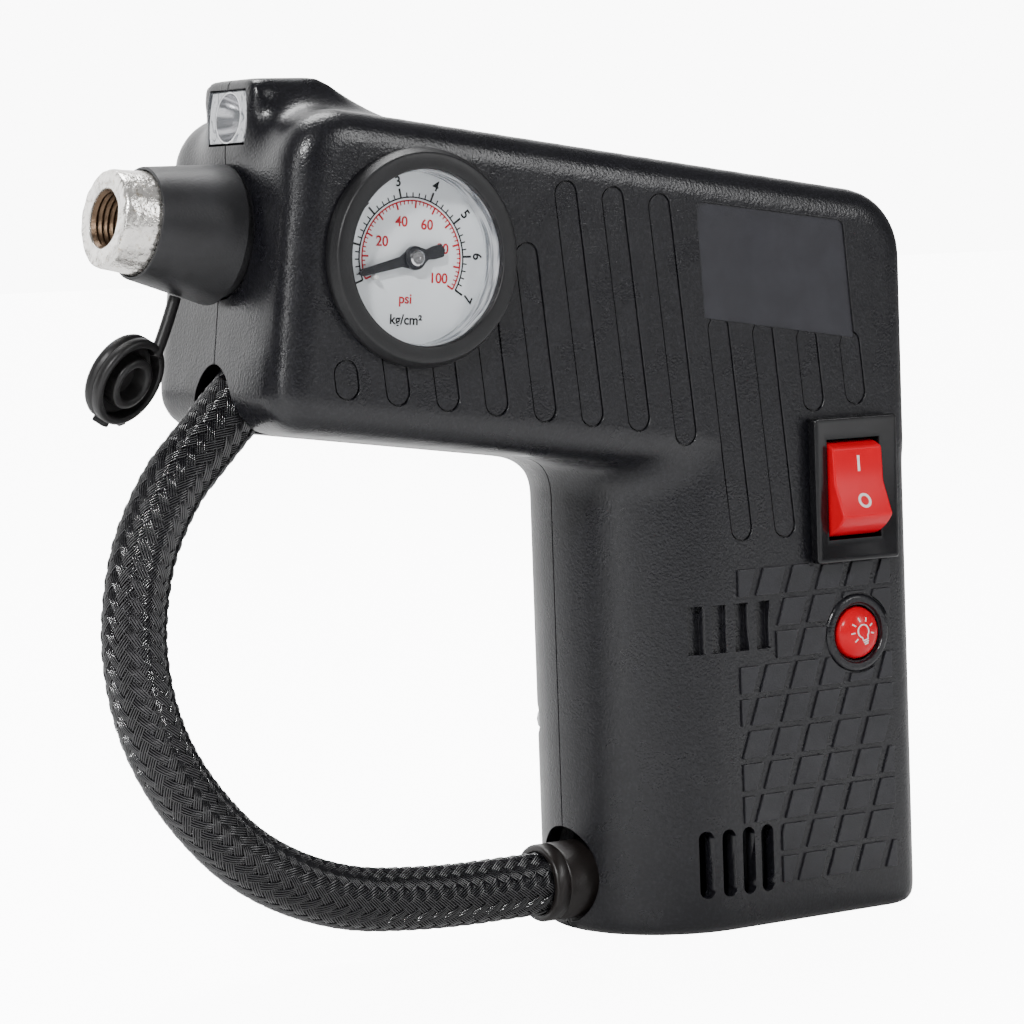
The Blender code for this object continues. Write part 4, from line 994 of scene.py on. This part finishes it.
def label_plate(side, name):
    """Smooth blank panel lying in the label recess."""
    inner = [(x, z, max(r - 0.1, 0.2)) for x, z, r in inset(LABEL_CORNERS, 0.15)]
    floor = HALF_WIDTH - LABEL_DEEP
    return smooth(slab(name, rounded(inner, 6), side, floor - 0.1, floor + 0.06), 40)


def housing():
    outer = body_form(0.0, "outer")
    hollow = body_form(WALL, "hollow")
    for side, node in ((-1, "left_housing"), (1, "right_housing")):
        tag = node.split("_")[0]
        made = shaded_like(smooth(shell(tag + "_shell", side, outer, hollow), 32, led=False), outer)
        dress(made, "body_plastic")
        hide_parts(node)
        dress(grip_pads(side, tag + "_grip_pads"), "pad_plastic")
        dress(label_plate(side, tag + "_label_panel"), "label_plastic")
    drop(outer, hollow)


# ==== gauge ====
def gauge_point(angle, radius, deep):
    """Point on the dial: the angle is anticlockwise from the gauge's right as seen from outside."""
    turn = angle + DIAL_TURN
    return Vector((GAUGE_X + radius * math.cos(turn), -HALF_WIDTH + deep, GAUGE_Z + radius * math.sin(turn)))


def dial_tick(name, degrees, inner, outer, width, deep):
    angle = math.radians(degrees)
    first, last = gauge_point(angle, inner, deep), gauge_point(angle, outer, deep)
    middle = (first + last) / 2
    turn = SIDE_VIEW @ Matrix.Rotation(angle + DIAL_TURN, 3, "Z")
    return block(name, middle, ((last - first).length, width, PRINT_THICK), turn)


def dial_arc(name, start, end, radius, width, deep):
    first, last = start + math.degrees(DIAL_TURN), end + math.degrees(DIAL_TURN)
    outer = arc((0, 0), radius + width / 2, first, last, 90)
    inner = arc((0, 0), radius - width / 2, first, last, 90)
    return plate(name, outer + inner[::-1], -PRINT_THICK / 2, PRINT_THICK / 2, SIDE_VIEW,
                 (GAUGE_X, -HALF_WIDTH + deep, GAUGE_Z))


def dial_words(name, words, degrees, radius, size, deep, turn=0.0):
    made = lettering(name, words, size)
    spot = gauge_point(math.radians(degrees), radius, deep)
    made.matrix_world = (Matrix.Translation(spot * MM)
                         @ (SIDE_VIEW @ Matrix.Rotation(DIAL_TURN + turn, 3, "Z")).to_4x4())
    return settled(made)


def gauge_print():
    """Dial print: a black outer scale in kg/cm2 and a red inner scale in psi."""
    deep = DIAL_DEEP - 0.04
    black, red = [], []
    kg_step = PSI_STEP * KG_TO_PSI
    black.append(dial_arc("kg_arc", PSI_ZERO, PSI_ZERO + kg_step * KG_END, KG_RADIUS, 0.2, deep))
    for k in range(0, 10 * KG_END + 1, 2):
        end, width = (9.5, 0.28) if k % 10 == 0 else (8.85, 0.17)
        black.append(dial_tick(f"kg_{k}", PSI_ZERO + kg_step * k / 10, KG_RADIUS, end, width, deep))
    for k in range(1, KG_END + 1):
        degrees = PSI_ZERO + kg_step * k
        lean = math.radians(degrees - 90) * 0.95
        black.append(dial_words(f"kg_number_{k}", str(k), degrees, 10.45, NUMBER_SIZE, deep, lean))
    red.append(dial_arc("psi_arc", PSI_ZERO, PSI_ZERO + PSI_STEP * PSI_END, PSI_RADIUS, 0.2, deep))
    for k in range(0, PSI_END + 1, 2):
        start, width = (6.75, 0.26) if k % 10 == 0 else (7.25, 0.16)
        red.append(dial_tick(f"psi_{k}", PSI_ZERO + PSI_STEP * k, start, PSI_RADIUS, width, deep))
    for k in range(20, PSI_END + 1, 20):
        red.append(dial_words(f"psi_number_{k}", str(k), PSI_ZERO + PSI_STEP * k, 5.1, NUMBER_SIZE, deep))
    red.append(dial_words("psi_unit", "psi", 262, 5.6, UNIT_SIZE, deep))
    black.append(dial_words("kg_unit", "kg/cm²", 266, 8.4, UNIT_SIZE, deep))
    dress(merged("dial_black_print", black), "black_print")
    dress(merged("dial_red_print", red), "red_print")


def gauge_turned(name, profile, ring=True, steps=96, degrees=30.0):
    """Turned piece on the gauge's axis, its profile measured outward from the body's side."""
    return turned(name, profile, on_left(GAUGE_X, GAUGE_Z), LEFT, ring, steps, degrees)


def gauge():
    profile = [(0.05, 12.7), (1.2, 12.7), (1.2, 11.85), (2.0, 11.85)] + arc((2.0, 12.15), 0.3, -90, 0, 4)
    profile += [(2.32, 13.3)] + arc((1.75, 13.75), 0.5, 10, 65, 5) + [(1.1, 14.62), (0.8, 14.8), (0.05, 14.8)]
    bezel = gauge_turned("bezel", profile, steps=128, degrees=40)
    bezel.data.flip_normals()
    dress(bezel, "smooth_plastic")
    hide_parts("gauge_bezel")
    profile = [(1.15, 0), (1.15, 6.0), (1.1, 11.7), (0.9, 11.8), (0.7, 11.7), (0.7, 0)]
    window = gauge_turned("gauge_window", profile, ring=False)
    dress(window, "clear_plastic")
    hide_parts("gauge_lens")
    profile = [(1.1, 12.3), (-2.2, 12.3), (-2.2, 11.75), (-2.0, 11.6), (0.5, 11.6), (1.1, 11.75)]
    wall = gauge_turned("gauge_window_wall", profile)
    dress(wall, "rim_glass")
    dial = gauge_turned("dial_plate", [(-2.4, 0.9), (-2.4, 12.1), (-2.55, 12.2), (-2.9, 12.2), (-2.9, 0.9)])
    dress(dial, "white_dial")
    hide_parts("gauge_dial")
    gauge_print()
    profile = [(-1.1, 0), (-1.1, 0.25), (-1.2, 0.35), (-2.1, 0.35), (-2.1, 0)]
    across, up = STOP_RADIUS * math.cos(STOP_ANGLE), STOP_RADIUS * math.sin(STOP_ANGLE)
    stop = turned("zero_stop", profile, on_left(GAUGE_X + across, GAUGE_Z + up), LEFT, steps=24)
    dress(stop, "white_print")
    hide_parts("stop_pin")
    needle()


def needle():
    """Black pointer with a spade tail, and a silver hub on its shaft."""
    side = [(9.0, -0.12, 0), (8.4, -0.5, 0), (2.2, -0.72, 0), (1.3, -1.15, 0.5), (-1.3, -1.15, 0.5),
            (-2.0, -0.72, 0), (-3.1, -0.9, 0.3), (-4.5, -0.9, 0.3)]
    mirrored = [(x, -y, radius) for x, y, radius in side[::-1]]
    corners = mirrored[-1:] + side + [(-4.9, 0.0, 0.2)] + mirrored[:-1]
    outline = [rotate_flat(point, -NEEDLE_REST) for point in rounded(corners, 4)[::-1]]
    flat = plate("pointer", outline, *NEEDLE_SPAN, SIDE_VIEW, on_left(GAUGE_X, GAUGE_Z))
    pointer = bevel(flat, 0.06, 2)
    dress(smooth(pointer), "needle_grey", "gauge_needle")
    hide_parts("gauge_needle")
    profile = [(-1.0, 0), (-1.0, 1.45), (-1.1, 1.6), (-1.66, 1.65), (-1.66, 0)]
    boss = gauge_turned("pointer_boss", profile, False, 64)
    dress(boss, "needle_grey", "gauge_needle")
    profile = [(-0.62, 0), (-0.62, 0.3), (-0.5, 0.36), (-0.5, 0.85), (-0.66, 1.1), (-1.0, 1.15), (-1.0, 0)]
    hub = gauge_turned("pointer_hub", profile, False, 64)
    dress(hub, "reflector", "gauge_needle")
    profile = [(-1.66, 0), (-1.66, 0.55), (-8.5, 0.55), (-8.5, 0)]
    shaft = gauge_turned("pointer_shaft", profile, False, 24)
    dress(shaft, "brass", "gauge_needle")


# ==== nose ====
def nose_ring(name, profile, steps=128, degrees=40):
    """Turned ring on the nose's axis, its profile measured outward from the nose's base."""
    return turned(name, profile, nose(0), NOSE_AXIS, True, steps, degrees)


def nozzle():
    profile = [(COLLAR_FRONT, 7.25)] + arc((COLLAR_FRONT - 0.2, 7.45), 0.2, 20, 75, 4)
    profile += [(0.9, 9.5), (0.3, 9.6), (0.2, 9.4), (0.2, 8.4), (-3.4, 8.4), (-3.4, 10.2), (-5.0, 10.2),
                (-5.0, 5.6), (11.2, 5.6), (11.2, 7.25)]
    collar = nose_ring("collar", profile)
    dress(collar, "collar_plastic")
    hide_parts("nozzle_collar")
    tip = CONNECTOR_TIP
    profile = [(tip - 0.1, 3.95), (tip, 4.2), (tip, 6.3), (tip - 0.25, 6.6), (tip - 0.7, 6.72), (11.5, 7.1),
               (11.5, 5.3), (-5.3, 5.3), (-5.3, 7.0), (-7.0, 7.0), (-7.0, 2.2), (-9.5, 2.2), (-9.5, 1.1),
               (3.4, 1.1), (3.4, 3.95)]
    sleeve = nose_ring("connector_sleeve", profile)
    notches = []
    for k, spin in enumerate((-60, 120)):
        out = Matrix.Rotation(math.radians(spin), 3, NOSE_AXIS) @ Vector((0, 0, 1))
        place = nose(tip) + out * 5.8
        notches.append(block(f"rim_notch_{k}", place, (1.6, 3.4, 1.6), facing(NOSE_AXIS, out)))
    sleeve = smooth(battered(cut(sleeve, *notches)), 50)
    dress(sleeve, "nickel")
    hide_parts("valve_connector")
    thread = [(tip - 0.3, 3.95)]
    for k in range(THREAD_TURNS):
        start = tip - 0.6 - k * THREAD_PITCH
        thread += [(start, 3.75), (start - 0.2, 3.6), (start - 0.45, 3.6), (start - 0.65, 3.85)]
    thread += [(thread[-1][0] - 0.3, 3.9), (3.6, 3.9), (3.6, 3.94), (tip - 0.4, 3.97)]
    bore = nose_ring("connector_thread", thread[::-1], 96, 25)
    dress(bore, "connector_bore")
    profile = [(6.8, 1.7), (6.8, 3.2), (6.6, 3.4), (4.5, 3.4), (4.3, 3.2), (4.3, 1.7)]
    seal = nose_ring("connector_seal", profile, 64, 30)
    dress(seal, "rubber")
    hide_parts("valve_seal")
    profile = [(13.6, 0), (13.6, 0.5), (13.3, 0.85), (9.4, 0.85), (9.2, 0.75), (-1.0, 0.75), (-1.0, 0)]
    pin = turned("connector_pin", profile, nose(0), NOSE_AXIS, steps=32)
    dress(pin, "brass")
    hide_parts("valve_pin")


def battered(made):
    """Small dents in a rough casting: vertices move by smooth waves of fixed phase."""
    def dent(shape):
        bmesh.ops.triangulate(shape, faces=shape.faces)
        long_edges = [edge for edge in shape.edges if edge.calc_length() > 1.4 * MM]
        bmesh.ops.subdivide_edges(shape, edges=long_edges, cuts=2)
        shape.normal_update()
        moves = []
        for vert in shape.verts:
            x, y, z = vert.co / MM
            wave = math.sin(1.9 * x + 2.3 * y) + math.sin(2.7 * y - 1.4 * z + 1.0)
            wave += math.sin(2.2 * z + 3.1 * x + 2.0)
            moves.append(vert.normal * (wave / 3 * DENT_DEEP - DENT_SUNK) * MM)
        for vert, move in zip(shape.verts, moves):
            vert.co += move

    edited(made.data, dent)
    return made


def dust_cap():
    """Rubber cap with a stepped rim, a hollow plug ring inside and a round strap to the collar."""
    profile = [(-1.9, 0), (-1.9, 2.2), (-1.7, 2.3), (0.1, 2.4), (0.35, 2.6), (0.45, 3.0), (0.35, 3.5),
               (0.1, 3.65), (-1.75, 3.7), (-1.9, 3.9), (-1.9, 4.9), (-1.75, 5.1), (-0.2, 5.15), (0.0, 5.35),
               (0.05, 5.9), (-0.15, 6.2), (-0.5, 6.25), (-1.2, 6.25), (-1.35, 6.1), (-1.5, 6.1),
               (-1.65, 6.25), (-2.5, 6.2), (-2.85, 6.0), (-3.0, 5.6), (-3.0, 0)]
    cup = turned("dust_cap_cup", profile, CAP_CENTRE, CAP_OPENS, False, 96, 50)
    dress(cup, "rubber", "dust_cap")
    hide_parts("dust_cap")
    low = CAP_OPENS.cross(CAP_OPENS.cross(Vector((0, 0, 1)))).normalized()
    for k, spin in enumerate((-16, 14)):
        out = Matrix.Rotation(math.radians(spin), 3, CAP_OPENS) @ low
        place = CAP_CENTRE + out * 6.2 - CAP_OPENS * 1.7
        tooth = bevel(block(f"dust_cap_tooth_{k}", place, (1.3, 1.5, 2.2), facing(CAP_OPENS, out)), 0.25)
        dress(smooth(tooth), "rubber", "dust_cap")
    pull = (STRAP_ROOT - STRAP_END).normalized()
    start = STRAP_END - pull * 1.2
    reach = STRAP_ROOT - STRAP_END + pull * 1.2
    points = []
    for k in range(17):
        sag = math.sin(k / 16 * math.pi) * STRAP_SAG
        points.append(start + reach * (k / 16) + Vector((sag, 0, 0)))
    strap = stroke("dust_cap_strap", points, STRAP_RADIUS, 4)
    dress(smooth(strap), "rubber", "dust_cap")


# ==== lamp ====
def lens_outline(grow=0.0):
    """Outline of the lamp's window: flat top and bottom, sides that curve out."""
    half_w, half_t = LENS_WIDTH / 2 + grow, LENS_TALL / 2 + grow
    outline = []
    for side in (1, -1):
        for k in range(13):
            share = side * (1 - k / 6)
            outline.append((side * (half_w - LENS_BULGE * share * share), half_t * share * LENS_SIDE))
    return outline[::-1]


def lamp():
    out = LAMP_OUT
    face = lamp_face()
    window = bevel(plate("lamp_window", lens_outline(), -0.25, 0.3, facing(out), face), 0.18, 3)
    dress(smooth(window), "lamp_plastic")
    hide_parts("lamp_lens")
    profile = [(-0.4, 3.5), (-1.3, 3.35), (-2.6, 2.75), (-4.4, 1.9), (-6.6, 1.7), (-6.6, 1.5), (-4.4, 1.6),
               (-2.5, 2.5), (-1.3, 3.05), (-0.4, 3.3)]
    cup = turned("lamp_bowl", profile, face, out, True, 64, 50)
    dress(cup, "reflector")
    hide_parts("lamp_reflector")
    flange = bevel(plate("lamp_surround", lens_outline(-0.06), -0.8, -0.35, facing(out), face), 0.1)
    hole = bar("lamp_surround_hole", BOWL_RADIUS, face - out * 5, face + out * 2)
    dress(smooth(cut(flange, hole)), "lamp_silver")
    profile = arc((-2.6, 0), 1.4, 0, 90, 8) + [(-6.4, 1.4), (-7.2, 1.4), (-7.2, 0)]
    led = turned("lamp_bulb", profile, face, out, steps=48)
    dress(led, "lamp_plastic")
    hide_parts("lamp_led")
    chip = turned("lamp_chip", [(-3.2, 0), (-3.2, 0.8), (-6.3, 0.8), (-6.3, 0)], face, out, steps=24)
    dress(chip, "led_yellow")


# ==== switches ====
ROCKER_VIEW = Matrix((Vector((0, 0, 1)), Vector((0, -1, 0)), Vector((1, 0, 0)))).transposed()


def power_switch():
    face = on_left(SWITCH_X, SWITCH_Z)
    half_x, half_z = FLANGE[0] / 2, FLANGE[1] / 2
    corners = [(-half_x, -half_z, 0.6), (half_x, -half_z, 0.6), (half_x, half_z, 0.6), (-half_x, half_z, 0.6)]
    outline = rounded(corners, 5)
    flange = bevel(plate("switch_bezel", outline, 0.3, FLANGE_PROUD, SIDE_VIEW, face), 0.3, 3)
    body = block("switch_box", (SWITCH_X, face.y + 6.5, SWITCH_Z), SWITCH_BOX)
    flange = join(flange, body)
    slope = []
    for grow, height in ((0.35, FLANGE_PROUD + 0.2), (0.0, FLANGE_PROUD), (-1.35, FLANGE_PROUD - 0.85)):
        wide, tall = half_x - FLANGE_RIM + grow, half_z - FLANGE_RIM + grow
        flat = [(-wide, -tall), (wide, -tall), (wide, tall), (-wide, tall)]
        slope.append([(x, z, height) for x, z in flat])
    slope_cut = loft("switch_slope", slope, SIDE_VIEW, face)
    window = block("switch_window", (SWITCH_X, face.y + 3.0, SWITCH_Z), SWITCH_WINDOW)
    flange = cut(flange, slope_cut, window)
    dress(smooth(flange), "gloss_plastic")
    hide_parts("switch_frame")
    rocker(Vector((SWITCH_X, face.y - FLANGE_PROUD + ROCKER_PIVOT_DEEP, SWITCH_Z)))


def rocker(pivot):
    """Red rocker with its top end pressed in, and its two generic marks."""
    low, high = ROCKER_ARC
    outline = arc((0, 0), ROCKER_RADIUS, low, high, 16) + [(0.0, ROCKER_WAIST)]
    outline += arc((0, 0), ROCKER_RADIUS, 180 - high, 180 - low, 16)
    tilted = [rotate_flat(point, ROCKER_TILT) for point in outline]
    made = plate("rocker", tilted, -ROCKER_HALF_WIDTH, ROCKER_HALF_WIDTH, ROCKER_VIEW, pivot)
    made = bevel(made, 0.35, 4, 30)
    made = cut(made, bar("rocker_hole", 1.0, pivot - Vector((9, 0, 0)), pivot + Vector((9, 0, 0)), 32))
    dress(smooth(made, 25), "red_plastic", "rocker")
    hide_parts("switch_rocker")
    upper = mark_place(pivot, 1)
    lower = mark_place(pivot, -1)
    line = bevel(block("rocker_line", NO_SHIFT, (0.42, 2.3, 0.06)), 0.02, 1)
    line.matrix_world = upper
    profile = [(0.03, 0.72), (0.03, 1.12), (-0.03, 1.12), (-0.03, 0.72)]
    ring = turned("rocker_ring", profile, NO_SHIFT, (0, 0, 1), True, 48)
    ring.matrix_world = lower
    marks = merged("rocker_marks", [line, ring])
    dress(marks, "white_print", "rocker")


def mark_place(pivot, side):
    """Frame on one of the rocker's two faces: local x runs along the pivot, y up the face, z out of it."""
    edge = math.radians(ROCKER_ARC[1])
    slope = (ROCKER_RADIUS * math.sin(edge) - ROCKER_WAIST) / (ROCKER_RADIUS * math.cos(edge))
    spot = rotate_flat((MARK_PLACE * side, ROCKER_WAIST + slope * MARK_PLACE + 0.02), ROCKER_TILT)
    lean = math.atan(slope) * side - ROCKER_TILT
    up_face = Vector((0, -math.sin(lean), math.cos(lean)))
    out_face = Vector((0, -math.cos(lean), -math.sin(lean)))
    where = pivot + Vector((0, -spot[1], spot[0]))
    turn = Matrix((up_face.cross(out_face), up_face, out_face)).transposed()
    return Matrix.Translation(where * MM) @ turn.to_4x4()


def dome_height(radius):
    for (r0, h0), (r1, h1) in zip(BUTTON_DOME, BUTTON_DOME[1:]):
        if radius <= r1:
            return h0 + (h1 - h0) * (radius - r0) / (r1 - r0)
    return BUTTON_DOME[-1][1]


def lamp_button():
    face = on_left(BUTTON_X, BUTTON_Z)
    profile = [(height, radius) for radius, height in BUTTON_DOME]
    profile += [(-2.7, 3.8), (-2.7, 4.6), (-3.5, 4.6), (-3.5, 1.2), (-5.0, 1.2), (-5.0, 0)]
    button = turned("button", profile, face, LEFT, steps=96, degrees=50)
    dress(button, "red_plastic", "light_button")
    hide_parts("light_button")
    bulb = arc((0, 0.35), 0.95, -55, 235, 24)
    lines = [[(-0.42, -1.0)] + bulb[::-1] + [(0.42, -1.0)]]
    for half, height in ((0.42, -1.0), (0.42, -1.3), (0.3, -1.6)):
        lines.append([(-half, height), (half, height)])
    for k in range(7):
        turn = math.radians(-30 + 40 * k)
        lines.append([(reach * math.cos(turn), 0.35 + reach * math.sin(turn)) for reach in (1.45, 2.05)])
    drawn = []
    for i, line in enumerate(lines):
        points = []
        for x, z in line:
            x, z = rotate_flat((x, z), -ICON_LEAN)
            points.append(face + Vector((x, -dome_height(math.hypot(x, z)) - 0.01, z)))
        drawn.append(stroke(f"icon_{i}", points, 0.11, 1))
    dress(smooth(merged("button_icon", drawn)), "white_print", "light_button")


# ==== hose ====
def smooth_route(route, step):
    """Points about a step apart on one smooth curve through the route's points, in the middle plane."""
    dense = []
    count = len(route)
    for i in range(count - 1):
        p0, p1 = Vector(route[max(i - 1, 0)]), Vector(route[i])
        p2, p3 = Vector(route[i + 1]), Vector(route[min(i + 2, count - 1)])
        for k in range(20):
            t = k / 20
            dense.append(0.5 * (2 * p1 + (p2 - p0) * t + (2 * p0 - 5 * p1 + 4 * p2 - p3) * t * t
                                + (3 * p1 - p0 - 3 * p2 + p3) * t ** 3))
    dense.append(Vector(route[-1]))
    lengths = [0.0]
    for a, b in zip(dense, dense[1:]):
        lengths.append(lengths[-1] + (b - a).length)
    pieces = round(lengths[-1] / step)
    points = []
    at = 0
    for k in range(pieces + 1):
        want = lengths[-1] * k / pieces
        while at < len(lengths) - 2 and lengths[at + 1] < want:
            at += 1
        share = (want - lengths[at]) / (lengths[at + 1] - lengths[at])
        spot = dense[at].lerp(dense[at + 1], share)
        points.append(Vector((spot.x, 0.0, spot.y)))
    return points, lengths[-1]


def swept(path, normals, section):
    """Points and faces of a closed tube; the section's points are (outward, sideways) offsets."""
    around = len(section)
    side = Vector((0, 1, 0))
    points = [spot + out * u + side * v for spot, out in zip(path, normals) for u, v in section]
    faces = []
    for i in range(len(path) - 1):
        for k in range(around):
            after = (k + 1) % around
            faces.append([i * around + k, i * around + after, (i + 1) * around + after, (i + 1) * around + k])
    faces.append(list(range(around))[::-1])
    faces.append([(len(path) - 1) * around + k for k in range(around)])
    return points, faces


def strand_ring(spot, normal, run, hand, carrier, shift):
    """Section of one strand at a distance along the hose, over or under the strands that it crosses."""
    crossings = 2 * BRAID_CARRIERS * run / BRAID_LEAD
    angle = math.tau * (carrier / BRAID_CARRIERS + hand * run / BRAID_LEAD) + shift
    phase = hand * crossings + 2 * carrier + hand * shift * BRAID_CARRIERS / math.tau
    lift = hand * math.cos(math.pi / 2 * phase - math.pi / 4)
    lift = max(-1.0, min(1.0, 1.35 * lift))
    radius = BRAID_MIDDLE + STRAND_RADIUS * 0.95 * lift
    out, side = math.cos(angle), math.sin(angle)
    centre = spot + normal * (radius * out) + Vector((0, radius * side, 0))
    radial = normal * out + Vector((0, side, 0))
    across = normal * -side + Vector((0, out, 0))
    ring = []
    for k in range(STRAND_SIDES):
        turn = math.tau * k / STRAND_SIDES
        offset = radial * (STRAND_RADIUS * math.cos(turn))
        ring.append(centre + offset + across * (STRAND_RADIUS * 1.15 * math.sin(turn)))
    return ring


def strand_faces(base, count):
    """Faces of one strand whose rings start at a base point, with closed ends."""
    sides = STRAND_SIDES
    faces = []
    for i in range(count - 1):
        first, second = base + i * sides, base + (i + 1) * sides
        for k in range(sides):
            after = (k + 1) % sides
            faces.append([first + k, second + k, second + after, first + after])
    faces.append([base + k for k in range(sides)])
    faces.append([base + (count - 1) * sides + k for k in range(sides)][::-1])
    return faces


def braided_hose():
    """Rubber tube under a two-over, two-under braid of flat bundles of round strands."""
    path, length = smooth_route(HOSE_ROUTE, BRAID_STEP)
    count = len(path)
    step = length / (count - 1)
    tangents = []
    for i in range(count):
        ahead = path[min(i + 1, count - 1)] - path[max(i - 1, 0)]
        tangents.append(ahead.normalized())
    normals = [Vector((t.z, 0, -t.x)) for t in tangents]
    core = arc((0, 0), HOSE_RADIUS - 4 * STRAND_RADIUS + 0.1, 0, 360, 40)[:-1]
    points, faces = swept(path, normals, core)
    spread = math.tau / BRAID_CARRIERS * BRAID_FILL / STRANDS
    for hand in (1, -1):
        for carrier in range(BRAID_CARRIERS):
            for strand in range(STRANDS):
                faces += strand_faces(len(points), count)
                shift = (strand - (STRANDS - 1) / 2) * spread
                for i in range(count):
                    points += strand_ring(path[i], normals[i], i * step, hand, carrier, shift)
    made = from_points("air_hose", points, faces)
    made.data.shade_smooth()
    dress(made, "braid")
    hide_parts("hose")
    return made, [point * MM for point in path], length * MM


def hose():
    made, path, length = braided_hose()
    inner = HOSE_RADIUS + 0.1
    depth = BOOT_BACK - BOOT_FRONT
    radius = BOOT_RADIUS
    profile = [(0.05, inner), (0.0, inner + 0.25), (0.0, radius - 0.35), (0.1, radius - 0.12), (0.4, radius),
               (2.2, radius), (2.4, radius - 0.15), (2.6, radius), (depth, radius), (depth, 0),
               (depth - 1.0, 0), (depth - 1.0, inner)]
    boot = turned("boot", profile, (BOOT_FRONT, 0, HOSE_ROUTE[-1][1]), (1, 0, 0), True, 96, 50)
    boot.data.flip_normals()
    dress(boot, "boot_rubber")
    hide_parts("hose_boot")


# ==== CAD pieces that keep their shape ====
def weld(shape):
    """Join the CAD triangles into whole faces."""
    bmesh.ops.remove_doubles(shape, verts=shape.verts, dist=0.005 * MM)
    bmesh.ops.dissolve_limit(shape, angle_limit=math.radians(0.5), verts=shape.verts, edges=shape.edges)


def adopt_rest():
    """Every CAD node that nothing rebuilt keeps its shape and gets its slot's procedural finish."""
    slots = {}
    for part in frame["record"]["subparts"]:
        slots[part["node"]] = part["material_slot"]
    rebuilt = {
        "left_housing", "right_housing", "gauge_bezel", "gauge_lens", "gauge_dial", "stop_pin",
        "gauge_needle", "nozzle_collar", "valve_connector", "valve_seal", "valve_pin", "dust_cap",
        "lamp_lens", "lamp_reflector", "lamp_led", "switch_frame", "switch_rocker", "light_button",
        "hose", "hose_boot",
    }
    owners = {}
    for body, nodes in frame["record"]["behaviour"]["bodies"].items():
        for node in nodes:
            owners[node] = body
    for name, source in frame["nodes"].items():
        if name in rebuilt:
            continue
        mesh = source.data.copy()
        mesh.transform(source.matrix_world)
        edited(mesh, weld)
        piece = linked(name + "_finished", mesh)
        slot = slots[name]
        look = slot if slot in LOOKS else "steel"
        dress(smooth(piece), look, owners[name])
        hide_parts(name)


# ==== stage ====
def camera_sees(tree, output, usual, seen):
    """Let the camera alone see the second shader, and every other ray the first one."""
    nodes, links = tree.nodes, tree.links
    choice = nodes.new("ShaderNodeMixShader")
    links.new(nodes.new("ShaderNodeLightPath").outputs["Is Camera Ray"], choice.inputs["Fac"])
    links.new(usual, choice.inputs[1])
    links.new(seen, choice.inputs[2])
    links.new(choice.outputs["Shader"], nodes[output].inputs["Surface"])


def stage():
    """Pale floor in a white tent that is darker on the camera's side, where the lamps stand."""
    floor = linked("floor", bpy.data.meshes.new("floor"))
    edited(floor.data, lambda shape: bmesh.ops.create_grid(shape, x_segments=8, y_segments=8, size=6.0))
    look = Look("floor_white", (0.9, 0.9, 0.9), 0.6)
    look.paint(look.noise(400.0, 2.0), (0.88, 0.88, 0.885))
    lit = look.shader.outputs["BSDF"]
    both = look.add("AddShader")
    look.links.new(lit, both.inputs[0])
    look.links.new(look.add("Emission", Strength=FLOOR_GLOW).outputs["Emission"], both.inputs[1])
    camera_sees(look.made.node_tree, "Material Output", lit, both.outputs["Shader"])
    floor.data.materials.append(look.made)
    world = bpy.data.worlds.new("studio")
    bpy.context.scene.world = world
    world.use_nodes = True
    nodes, links = world.node_tree.nodes, world.node_tree.links
    tent = with_sockets(nodes["Background"], Color=(1.0, 1.0, 1.0, 1.0))
    sky = with_sockets(nodes.new("ShaderNodeBackground"), Strength=BACKDROP)
    where = nodes.new("ShaderNodeTexCoord").outputs["Generated"]
    depth = nodes.new("ShaderNodeSeparateXYZ")
    links.new(where, depth.inputs["Vector"])
    fade = nodes.new("ShaderNodeMapRange")
    fade.interpolation_type = "SMOOTHSTEP"
    for name, value in zip(("From Min", "From Max", "To Min", "To Max"), TENT_FADE):
        fade.inputs[name].default_value = value
    links.new(depth.outputs["Y"], fade.inputs["Value"])
    links.new(fade.outputs["Result"], tent.inputs["Strength"])
    camera_sees(world.node_tree, "World Output", tent.outputs["Background"], sky.outputs["Background"])


def area_light(name, where, size, power):
    data = bpy.data.lights.new(name, "AREA")
    data.shape = "RECTANGLE"
    data.size, data.size_y = size
    data.energy = power
    made = bpy.data.objects.new(name, data)
    bpy.context.scene.collection.objects.link(made)
    away = Vector(where) - Vector(LIGHT_TARGET)
    made.matrix_world = Matrix.Translation(Vector(where)) @ facing(away).to_4x4()


stage()
for light in LIGHTS:
    area_light(*light)
hose()
housing()
gauge()
nozzle()
dust_cap()
lamp()
power_switch()
lamp_button()
adopt_rest()
